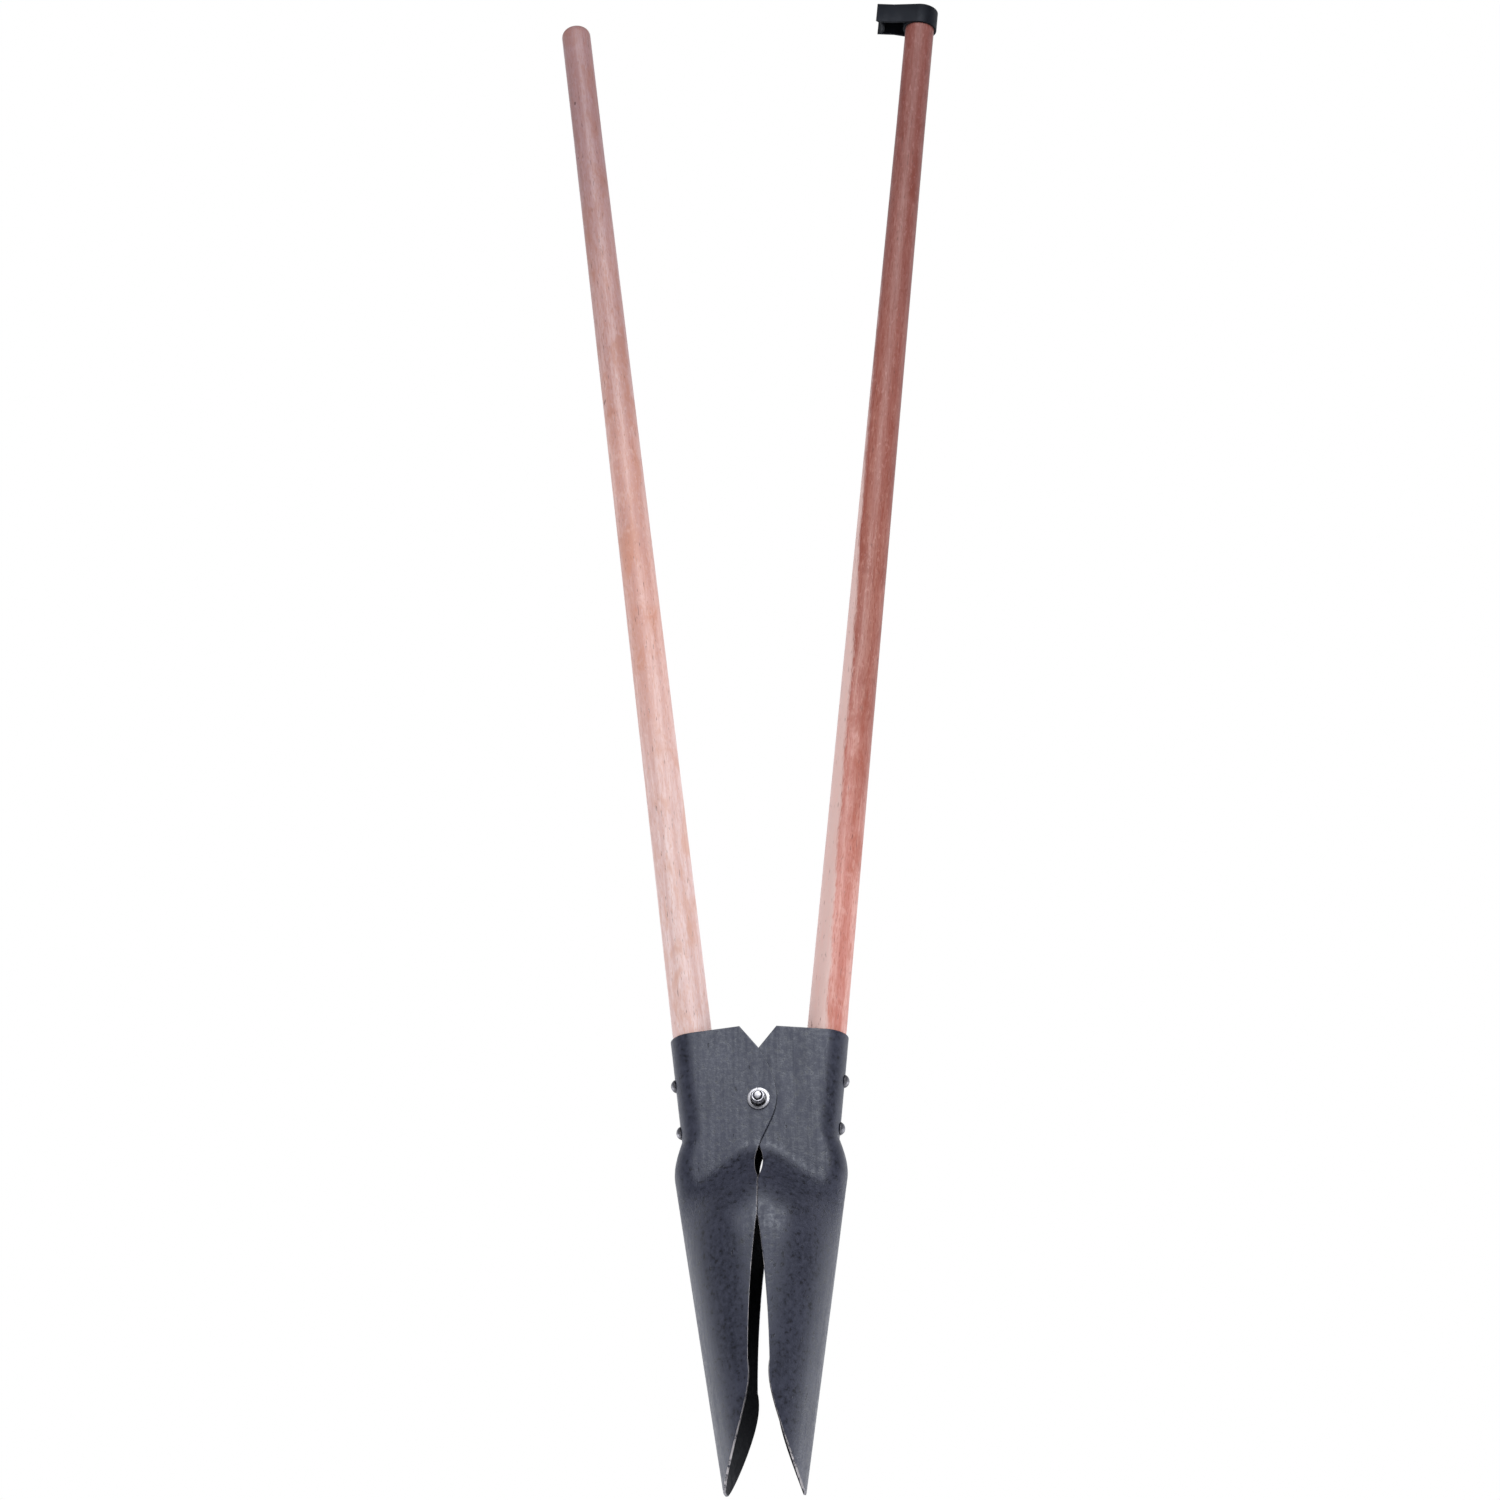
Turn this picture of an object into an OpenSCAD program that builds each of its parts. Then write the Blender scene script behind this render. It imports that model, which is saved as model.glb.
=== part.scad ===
// Hand-operated post hole digger: two pressed-steel scoops on a common pivot bolt,
// each riveted round the foot of a long tapered wooden handle.
// Row frame: +Z up, tips on the ground plane, pivot axis along Y, handles spread along X.
// Jaw frame: x outward from the pivot plane, z up along the handle, origin on the pivot axis.

/* [Handles] */
// Lean of each handle from upright with the blades shut, in degrees
splay = 5.95; // [4:0.05:7]
// Length of handle above the pivot, along the handle
handle_above = 1180; // [900:10:1300]
// Length of handle below the pivot, along the handle
handle_below = 39; // [36:1:44]
// Diameter of the handle's foot
foot_d = 36.5; // [33:0.5:38]
// Length of the straight foot, from the lower end
foot_len = 125; // [115:5:200]
// Diameter of the handle's grip
grip_d = 29; // [26:0.5:32]
// Length of the straight grip, from the upper end
grip_len = 130; // [80:5:250]
// Rounding of the handle's upper end
end_round = 4; // [2:0.5:6]
// Chamfer of the handle's lower end
foot_chamfer = 2; // [1:0.5:3]

/* [Jaw sheet] */
// Distance of each handle's axis from the pivot plane
axis_out = 54.5; // [52:0.5:58]
// Thickness of the pressed sheet
sheet = 2.3; // [1.8:0.1:3]
// Clearance between the sheet and the wood
wood_gap = 0.25; // [0.1:0.05:0.5]
// Gap between the two overlapping flanges
flange_gap = 0.3; // [0.2:0.05:0.6]
// Gap between the blades' shut edges
edge_gap = 0.3; // [0.2:0.05:0.6]

/* [Jaw socket] */
// Height of the socket's top edge above the pivot
socket_top = 73; // [66:1:80]
// Depth of the knee, where the outer wall starts to bulge, below the pivot
knee = 26; // [24:1:32]
// Distance of the flange's top corner from the pivot plane
corner_out = 9.5; // [6:0.5:14]
// Height of the flange's top chamfer
chamfer_h = 24; // [18:1:28]
// Sideways run of the flange's top chamfer
chamfer_run = 15.5; // [12:0.5:18]
// Reach of the pivot lobe beyond the pivot plane
lobe_reach = 17.2; // [14:0.2:20]
// Height of the lobe's widest point above the pivot
lobe_rise = 4; // [0:0.5:8]

/* [Jaw blade] */
// Length of the blade below the pivot
blade_len = 357; // [320:1:400]
// Width of the scoop
blade_w = 115; // [100:1:130]
// Reach of the shoulder past the socket's outer wall
shoulder_reach = 10.5; // [6:0.5:14]
// Height over which the shoulder bulges
shoulder_h = 36; // [28:1:44]
// Inward slope of the outer line, from shoulder to tip
tip_set_in = 11.5; // [6:0.5:16]
// Depth at which the flanges start to flare, below the lobe
flare_start = 39; // [38:1:42]
// Height over which the flanges flare
flare_h = 72; // [60:1:80]
// Slant of the flare's crease outside the lobe, in drop for each unit outward
flare_slant = 0.6; // [0.4:0.05:0.7]
// Depth of the widest point of the eye between the jaws
eye_depth = 64; // [60:1:70]
// Half width of the eye
eye_half = 3.3; // [2:0.1:5]
// Depth of the lower end of the eye
eye_end = 81; // [76:1:90]
// Depth at which the shut edges part
touch_end = 119; // [110:1:140]
// Depth at which the rounded point starts
point_start = 256; // [240:1:280]
// Distance of each edge from the meeting plane at the start of the point
part_gap = 9.4; // [6:0.1:14]
// Fullness of the edge's sweep between those two depths
edge_sweep = 1.95; // [1:0.05:3]
// Fullness of the rounded point
point_full = 0.53; // [0.4:0.01:1]
// Width of the blunt tip
tip_w = 24; // [8:1:36]

/* [Pivot] */
// Diameter of the pivot bolt
bolt_d = 8; // [6:0.5:10]
// Length of the pivot bolt under its head
bolt_len = 58; // [56:1:66]
// Radial clearance of the holes on the pivot bolt
bolt_clear = 0.1; // [0.02:0.01:0.1]
// Width of the nut and the bolt head across flats
nut_flats = 13; // [13:0.5:17]
// Height of the bolt head
head_h = 5.3; // [4:0.1:7]
// Height of the nut's hexagon
nut_hex_h = 5; // [4:0.5:7]
// Height of the nut's round collar
nut_collar_h = 3; // [2:0.5:4]
// Diameter of the nut's round collar
nut_collar_d = 12; // [11.5:0.5:12.5]
// Inner diameter of the locking ring's seat in the collar
nut_seat_d = 10; // [9.5:0.1:10.5]
// Diameter of the washers
washer_d = 21; // [18:0.5:24]
// Thickness of the washers
washer_t = 1.6; // [1:0.1:2.5]
// Play between the rear washer and the moving jaw
washer_play = 0.1; // [0.05:0.05:0.2]

/* [Rivets] */
// Height of the upper rivets above the pivot
rivet_up = 30; // [26:1:40]
// Depth of the lower rivets below the pivot
rivet_down = 16; // [12:1:18]
// Diameter of the rivet shanks
rivet_d = 6; // [5:0.5:7]
// Diameter of the rivet heads
rivet_head_d = 12.4; // [11:0.2:14]
// Height of the rivet heads
rivet_head_h = 4.4; // [3:0.2:5]
// Diameter of the burrs under the closed ends
burr_d = 13; // [12:0.5:16]
// Thickness of the burrs
burr_t = 1.5; // [1:0.1:2]
// Diameter of the closed ends
clinch_d = 9; // [8:0.5:10]
// Height of the closed ends
clinch_h = 2; // [1:0.2:3]
// Clearance of the rivets in their holes
rivet_clear = 0.2; // [0.1:0.05:0.3]

/* [Handle clip] */
// Reach of the cap down the handle
cap_reach = 16.5; // [12:0.5:24]
// Thickness of the cap's roof
cap_roof = 4; // [3:0.5:6]
// Wall of the cap and the arm
clip_wall = 2.3; // [1.8:0.1:3]
// Clearance between the cap and the handle
cap_gap = 0.2; // [0.1:0.05:0.4]
// Width of the arm
arm_w = 25; // [22:0.5:28]
// Reach of the arm's horns from the handle's axis
arm_reach = 44; // [40:0.5:50]
// Where the arm starts to widen into the cap, from the handle's axis
arm_flare = 27; // [24:0.5:30]
// Clearance of the other handle in the arm's saddle
saddle_gap = 1.6; // [1.4:0.1:3]
// Diameter of the clip screw
screw_d = 4; // [3:0.5:5]
// Length of the clip screw in the wood
screw_len = 22; // [16:1:30]
// Diameter of the clip screw's head
screw_head_d = 8; // [7:0.5:9]
// Height of the clip screw's head
screw_head_h = 2.4; // [2:0.2:3]

/* [Hidden] */
$fn = 64;

// Columns of the jaw's skin on each side of its middle line, and rows in each of its four zones
half_cols = 13;
socket_rows = 12;
flare_rows = 20;
blade_rows = 8;
point_rows = 10;
// Share of the columns given to the round part of a section, against the flat part
round_bias = 3.3;
// Step of the finite differences that give the skin's normals
probe_z = 0.5;
probe_q = 0.01;
// Overlap of a cutting tool past the face that it cuts
cut = 1;

socket_r = foot_d / 2 + wood_gap + sheet;
socket_out = axis_out + socket_r;
shoulder_end = knee + shoulder_h;
flare_end = flare_start + flare_slant * (socket_out - lobe_reach) + flare_h;
half_w = blade_w / 2;
jaw_offset = (sheet + flange_gap) / 2;
flange_face = socket_r + jaw_offset;
chamfer_end = socket_top - chamfer_h;
chamfer_in = corner_out - chamfer_run;
clip_drop = handle_above - cap_reach;
clip_top = handle_above + cap_gap + cap_roof;
cap_r = grip_d / 2 + cap_gap + clip_wall;
saddle_r = grip_d / 2 + saddle_gap;
saddle_out = arm_reach + sqrt(saddle_r * saddle_r - arm_w * arm_w / 4);
// The arm lies on the tool's middle plane, although the handle stands off it
arm_y = -jaw_offset;
pivot_h = blade_len * cos(splay) + wall_out(-blade_len) * sin(splay);

// Smooth step from 0 to 1
function ease(t) = let (c = max(0, min(1, t))) c * c * (3 - 2 * c);

// Outer line of the jaw, seen from the front
function wall_out(z) =
    z > -knee ? socket_out
    : z > -shoulder_end ? socket_out + shoulder_reach * sin(90 * (-knee - z) / shoulder_h)
    : socket_out + shoulder_reach - tip_set_in * (-shoulder_end - z) / (blade_len - shoulder_end);

// Plane on which the two shut edges meet, less half their gap
function meet_out(z) = -z * tan(splay) + edge_gap / 2 / cos(splay);

// Inner edge of the flanges and the blade, seen from the front
function edge(z) =
    z > chamfer_end ? corner_out - chamfer_run * (socket_top - z) / chamfer_h
    : z > lobe_rise ? lobe_edge(z)
    : z > -eye_depth ? neck_edge(z)
    : z > -eye_end ? meet_out(z) + eye_half * cos(90 * (-eye_depth - z) / (eye_end - eye_depth))
    : z > -touch_end ? meet_out(z)
    : meet_out(z) + part_gap * (1 - pow(1 - parted(z), edge_sweep));
// Share of the way from the end of the shut edges to the start of the point
function parted(z) = min(1, (-touch_end - z) / (point_start - touch_end));
function lobe_edge(z) =
    -lobe_reach
    + (lobe_reach + chamfer_in) * pow((z - lobe_rise) / (chamfer_end - lobe_rise), 2);
function neck_edge(z) =
    let (eye_out = meet_out(-eye_depth) + eye_half)
    (eye_out - lobe_reach) / 2
    - (eye_out + lobe_reach) / 2 * cos(180 * (lobe_rise - z) / (lobe_rise + eye_depth));

// Half width of the jaw at a place on its flank
function flank(x, z) =
    let (drop = flare_start + flare_slant * max(0, x - lobe_reach))
    socket_r + (half_w - socket_r) * ease((-drop - z) / flare_h);

// A point of the jaw's outer skin: q runs from -1 on the front edge to 1 on the rear edge
function skin(q, z) =
    z > -point_start ? rolled(abs(q), sign(q), z)
    : let (bow = bow_r(edge(-point_start), -point_start))
      arc_point(abs(q) * asin(point_half(z) / bow), sign(q), wall_out(z), bow, z);
function rolled(q, side, z) =
    let (r = flank(axis_out, z), out = wall_out(z), flat = out - r - edge(z))
    flat > 0 ? tangent_section(q, side, z, r, out, flat)
    : let (bow = bow_r(edge(z), z)) arc_point(q * asin(half_w / bow), side, out, bow, z);
function tangent_section(q, side, z, r, out, flat) =
    let (share = round_bias * 90 * r / (round_bias * 90 * r + flat * 180 / PI))
    let (x = q < share ? out - r + r * cos(90 * q / share) : out - r - flat * (q - share) / (1 - share))
    [x, side * flank(x, z) * (q < share ? sin(90 * q / share) : 1), z];
function arc_point(angle, side, out, bow, z) =
    [out - bow + bow * cos(angle), side * bow * sin(angle), z];
// Radius of the arc through both edges and the outer line
function bow_r(edge_x, z) =
    let (deep = wall_out(z) - edge_x) (half_w * half_w + deep * deep) / 2 / deep;
// Half width of the rounded point
function point_half(z) =
    let (full = sqrt(1 - pow(tip_w / blade_w, 1 / point_full)))
    let (t = full * (-point_start - z) / (blade_len - point_start))
    half_w * pow(1 - t * t, point_full);

// Outward normal of the skin, and the matching point of its inner face
function unit(v) = v / norm(v);
function skin_normal(q, z) =
    let (along_q = skin(min(1, q + probe_q), z) - skin(max(-1, q - probe_q), z))
    let (upper = min(socket_top, z + probe_z), lower = max(-blade_len, z - probe_z))
    unit(cross(along_q, skin(q, upper) - skin(q, lower)));
function inner_skin(q, z) =
    let (p = skin(q, z) - sheet * skin_normal(q, z))
    [z > -point_start ? max(p.x, edge(z)) : p.x, p.y, z > -knee ? z : p.z];

function zone(from, to, steps) = [for (i = [0 : steps - 1]) from + (to - from) * i / steps];
jaw_levels = concat(
    zone(socket_top, -knee, socket_rows),
    zone(-knee, -flare_end, flare_rows),
    zone(-flare_end, -point_start, blade_rows),
    [for (i = [0 : point_rows])
        -point_start - (blade_len - point_start) * sin(90 * i / point_rows)]
);

// Two triangles of a grid cell whose corners are given round it
function cell(a, b, c, d) = [[a, b, c], [a, c, d]];
function flatten(list) = [for (part = list) for (item = part) item];

// One pressed jaw, in its own frame, with its rivet holes and pivot holes
module jaw() {
    cols = 2 * half_cols + 1;
    rows = len(jaw_levels);
    side = rows * cols;
    outer = [for (z = jaw_levels) for (j = [-half_cols : half_cols]) skin(j / half_cols, z)];
    inner = [for (z = jaw_levels) for (j = [-half_cols : half_cols]) inner_skin(j / half_cols, z)];
    faces = flatten(concat(
        [for (i = [0 : rows - 2]) for (j = [0 : cols - 2])
            let (k = i * cols + j) cell(k, k + 1, k + cols + 1, k + cols)],
        [for (i = [0 : rows - 2]) for (j = [0 : cols - 2])
            let (k = side + i * cols + j) cell(k, k + cols, k + cols + 1, k + 1)],
        [for (i = [0 : rows - 2]) for (j = [0, cols - 1])
            let (k = i * cols + j)
            j == 0 ? cell(k, k + cols, side + k + cols, side + k)
            : cell(k, side + k, side + k + cols, k + cols)],
        [for (i = [0, rows - 1]) for (j = [0 : cols - 2])
            let (k = i * cols + j)
            i == 0 ? cell(k, side + k, side + k + 1, k + 1)
            : cell(k, k + 1, side + k + 1, side + k)]
    ));
    difference() {
        polyhedron(points = concat(outer, inner), faces = faces, convexity = 8);
        rotate([90, 0, 0])
            cylinder(h = 2 * socket_r + 2 * cut, d = bolt_d + 2 * bolt_clear, center = true);
        for (z = [rivet_up, -rivet_down])
            translate([axis_out, 0, z])
                rotate([0, 90, 0])
                    cylinder(h = socket_r + cut, d = rivet_d + 2 * rivet_clear);
    }
}

// Handle turned on a lathe, in the jaw frame
module handle(screw_hole) {
    taper_foot = foot_len - handle_below;
    taper_grip = handle_above - grip_len;
    round_at = [grip_d / 2 - end_round, handle_above - end_round];
    profile = concat(
        [
            [0, -handle_below],
            [foot_d / 2 - foot_chamfer, -handle_below],
            [foot_d / 2, foot_chamfer - handle_below],
            [foot_d / 2, taper_foot],
            [grip_d / 2, taper_grip]
        ],
        [for (a = [0 : 15 : 90]) round_at + end_round * [cos(a), sin(a)]],
        [[0, handle_above]]
    );
    translate([axis_out, 0, 0])
        difference() {
            rotate_extrude() polygon(profile);
            for (z = [rivet_up, -rivet_down])
                translate([0, 0, z])
                    rotate([0, 90, 0])
                        cylinder(h = foot_d + 2 * cut, d = rivet_d + 2 * rivet_clear, center = true);
            if (screw_hole)
                translate([0, 0, handle_above - screw_len])
                    cylinder(h = screw_len + cut, d = screw_d);
        }
}

// Round-head rivet through the socket wall and the handle, in the jaw frame
module rivet(level) {
    dome_r = (rivet_head_h * rivet_head_h + rivet_head_d * rivet_head_d / 4) / 2 / rivet_head_h;
    inside = axis_out - foot_d / 2 - burr_t;
    translate([0, 0, level]) {
        translate([inside - clinch_h, 0, 0])
            rotate([0, 90, 0])
                cylinder(h = socket_out - inside + clinch_h, d = rivet_d);
        translate([inside, 0, 0])
            rotate([0, -90, 0])
                cylinder(h = clinch_h, d1 = clinch_d, d2 = clinch_d - clinch_h);
        translate([socket_out, 0, 0])
            intersection() {
                translate([rivet_head_h - dome_r, 0, 0]) sphere(r = dome_r);
                rotate([0, 90, 0]) cylinder(h = rivet_head_h + cut, d = rivet_head_d + cut);
            }
    }
}

// Burr, the flat ring under a rivet's closed end, in the jaw frame
module burr(level) {
    translate([axis_out - foot_d / 2, 0, level])
        rotate([0, -90, 0])
            ring(burr_d, rivet_d + 2 * rivet_clear, burr_t);
}

// Flat ring standing on its own base
module ring(outer_d, inner_d, h) {
    difference() {
        cylinder(h = h, d = outer_d);
        translate([0, 0, -cut]) cylinder(h = h + 2 * cut, d = inner_d);
    }
}

// Hexagonal prism standing on its own base
module hexagon(flats, h) {
    cylinder(h = h, d = flats / cos(30), $fn = 6);
}

// Places a piece from the jaw frame on the right half, or on the left half by a half turn
module on_right() {
    translate([0, 0, pivot_h])
        translate([0, jaw_offset, 0])
            rotate([0, splay, 0])
                children();
}
module on_left() {
    rotate([0, 0, 180]) on_right() children();
}

// Places a piece on the pivot axis, with its own +Z towards the front
module on_pivot(y) {
    translate([0, y, pivot_h])
        rotate([90, 0, 0])
            rotate([0, 0, 90])
                children();
}

module left_jaw() {
    color("#565a66") on_left() jaw();
}
module right_jaw() {
    color("#5b5f6b") on_right() jaw();
}
module left_handle() {
    color("#cda59b") on_left() handle(false);
}
module right_handle() {
    color("#a86557") on_right() handle(true);
}
module left_upper_rivet() {
    color("#c9ccd0") on_left() rivet(rivet_up);
}
module left_lower_rivet() {
    color("#c9ccd0") on_left() rivet(-rivet_down);
}
module right_upper_rivet() {
    color("#c9ccd0") on_right() rivet(rivet_up);
}
module right_lower_rivet() {
    color("#c9ccd0") on_right() rivet(-rivet_down);
}
module left_upper_burr() {
    color("#b4b7bb") on_left() burr(rivet_up);
}
module left_lower_burr() {
    color("#b4b7bb") on_left() burr(-rivet_down);
}
module right_upper_burr() {
    color("#b4b7bb") on_right() burr(rivet_up);
}
module right_lower_burr() {
    color("#b4b7bb") on_right() burr(-rivet_down);
}

// Through-bolt with its head at the back
module pivot_bolt() {
    seat = flange_face + washer_play + washer_t;
    color("#bfc2c6") {
        on_pivot(seat) cylinder(h = bolt_len, d = bolt_d);
        on_pivot(seat + head_h) hexagon(nut_flats, head_h);
    }
}

// Locking nut at the front, with its round collar outward
module pivot_nut() {
    seat = -flange_face - washer_t;
    color("#d0d3d6")
        on_pivot(seat)
            difference() {
                union() {
                    hexagon(nut_flats, nut_hex_h);
                    cylinder(h = nut_hex_h + nut_collar_h, d = nut_collar_d);
                }
                translate([0, 0, -cut])
                    cylinder(h = nut_hex_h + nut_collar_h + 2 * cut, d = bolt_d);
                translate([0, 0, nut_hex_h])
                    cylinder(h = nut_collar_h + cut, d = nut_seat_d);
            }
}

// Plastic ring in the nut's collar
module nut_locking_ring() {
    color("#3a4a78")
        on_pivot(-flange_face - washer_t - nut_hex_h)
            ring(nut_seat_d, bolt_d, nut_collar_h * 0.8);
}
module front_washer() {
    color("#d4d6d9") on_pivot(-flange_face) ring(washer_d, bolt_d + 2 * bolt_clear, washer_t);
}
module rear_washer() {
    color("#d4d6d9")
        on_pivot(flange_face + washer_play + washer_t)
            ring(washer_d, bolt_d + 2 * bolt_clear, washer_t);
}

// Moulded cap with an arm whose saddle takes the other handle
module handle_clip() {
    h = clip_top - clip_drop;
    color("#25282d")
        on_right()
            translate([axis_out, 0, clip_drop])
                difference() {
                    union() {
                        cylinder(h = h, r = cap_r);
                        linear_extrude(h) arm_outline(0);
                    }
                    translate([0, 0, -cut])
                        cylinder(h = cap_reach + cap_gap + cut, r = grip_d / 2 + cap_gap);
                    difference() {
                        translate([0, 0, -cut]) linear_extrude(h + cut - cap_roof) arm_outline(clip_wall);
                        translate([0, 0, -2 * cut]) cylinder(h = h + 2 * cut, r = cap_r);
                        translate([-saddle_out, arm_y, -2 * cut])
                            cylinder(h = h + 2 * cut, r = saddle_r + clip_wall);
                    }
                    translate([-saddle_out, arm_y, -cut]) cylinder(h = h + 2 * cut, r = saddle_r);
                    cylinder(h = h + cut, d = screw_d);
                }
}

// Outline of the clip's arm, taken in by a wall's thickness for its hollow
module arm_outline(inset) {
    rear = arm_y + arm_w / 2 - inset;
    front = arm_y - arm_w / 2 + inset;
    polygon([
        [0, cap_r - inset], [-arm_flare, rear], [-arm_reach, rear],
        [-arm_reach, front], [-arm_flare, front], [0, inset - cap_r]
    ]);
}

// Pan-head screw through the cap's roof into the handle's end
module clip_screw() {
    color("#8f9296")
        on_right()
            translate([axis_out, 0, 0])
                difference() {
                    union() {
                        translate([0, 0, handle_above - screw_len])
                            cylinder(h = screw_len + cap_gap + cap_roof, d = screw_d);
                        translate([0, 0, clip_top])
                            cylinder(h = screw_head_h, d1 = screw_head_d, d2 = screw_head_d - screw_head_h);
                    }
                    translate([0, 0, clip_top + screw_head_h])
                        cube([screw_d, 1, 2], center = true);
                }
}

left_jaw();
right_jaw();
left_handle();
right_handle();
left_upper_rivet();
left_lower_rivet();
right_upper_rivet();
right_lower_rivet();
left_upper_burr();
left_lower_burr();
right_upper_burr();
right_lower_burr();
pivot_bolt();
pivot_nut();
nut_locking_ring();
front_washer();
rear_washer();
handle_clip();
clip_screw();
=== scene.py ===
"""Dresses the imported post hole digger: pressed jaws, turned handles, pivot hardware and handle clip.

Sizes are in millimetres and turn into metres as each mesh is placed. The row frame has +Z up, the
blades' tips on the ground and the pivot axis along Y. The jaw frame has x outward from the pivot
plane, z up along the handle and its origin on the pivot axis.
"""

import logging
import math
from dataclasses import dataclass, field
from enum import Enum
from typing import Any, Callable, Sequence

import bmesh
import bpy
import numpy as np
from mathutils import Euler, Matrix, Vector

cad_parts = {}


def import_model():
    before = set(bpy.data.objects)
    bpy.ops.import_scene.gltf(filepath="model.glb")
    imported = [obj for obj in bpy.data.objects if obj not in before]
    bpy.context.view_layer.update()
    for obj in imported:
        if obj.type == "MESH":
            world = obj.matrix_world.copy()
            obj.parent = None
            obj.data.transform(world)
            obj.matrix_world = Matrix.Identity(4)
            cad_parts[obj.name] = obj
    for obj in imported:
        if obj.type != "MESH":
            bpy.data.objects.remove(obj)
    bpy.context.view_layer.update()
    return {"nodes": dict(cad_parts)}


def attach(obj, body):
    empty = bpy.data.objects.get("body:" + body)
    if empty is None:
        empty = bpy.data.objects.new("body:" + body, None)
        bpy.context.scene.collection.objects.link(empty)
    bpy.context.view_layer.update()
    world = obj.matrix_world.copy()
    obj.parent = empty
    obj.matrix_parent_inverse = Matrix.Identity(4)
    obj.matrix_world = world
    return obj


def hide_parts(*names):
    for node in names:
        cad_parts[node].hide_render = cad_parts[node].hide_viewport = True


MM = 0.001
LOG = logging.getLogger("digger")
Array = np.ndarray
Colour = tuple[float, float, float]
Face = tuple[int, ...]
Shell = tuple[Array, list[Face]]
Profile = Sequence[tuple[float, float]]
RadiusOf = Callable[[Array, Array, Array], Array]


class Side(Enum):
    """The two halves of the digger, with the CAD body and half turn of each."""

    LEFT = ("left", "left_half", math.pi)
    RIGHT = ("right", "right_half", 0.0)

    @property
    def word(self) -> str:
        """Word that starts the half's piece names."""
        return self.value[0]

    @property
    def body(self) -> str:
        """CAD body that the half's pieces ride on."""
        return self.value[1]

    @property
    def turn(self) -> float:
        """Turn about +Z that takes the right half to this one, in radians."""
        return self.value[2]


class Slot(Enum):
    """Names of the material slots."""

    JAW = "jaw_steel"
    LEFT_WOOD = "left_handle_wood"
    RIGHT_WOOD = "right_handle_wood"
    RIVET = "zinc_rivet"
    BOLT = "zinc_bolt"
    NYLON = "locking_nylon"
    PLASTIC = "clip_plastic"


def linear(red: int, green: int, blue: int) -> Colour:
    """Turns an 8-bit screen colour into a linear one.

    Args:
        red: Red, from 0 to 255.
        green: Green, from 0 to 255.
        blue: Blue, from 0 to 255.

    Returns:
        The linear red, green and blue.
    """
    share = [v / 255 for v in (red, green, blue)]
    return tuple(v / 12.92 if v <= 0.04045 else ((v + 0.055) / 1.055) ** 2.4 for v in share)


@dataclass(frozen=True)
class Pattern:
    """Noise pattern of a finish: cycles per metre, octaves, share each keeps, and swirl."""

    scale: float | tuple[float, float, float]
    octaves: float = 3
    rough: float = 0.6
    swirl: float = 0.0


def drawn(across: float, along: float, octaves: float = 3, swirl: float = 0.0) -> Pattern:
    """Pattern drawn out along the wood, from its cycles per metre across and along the grain."""
    return Pattern((across, across, along), octaves, 0.6, swirl)


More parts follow.
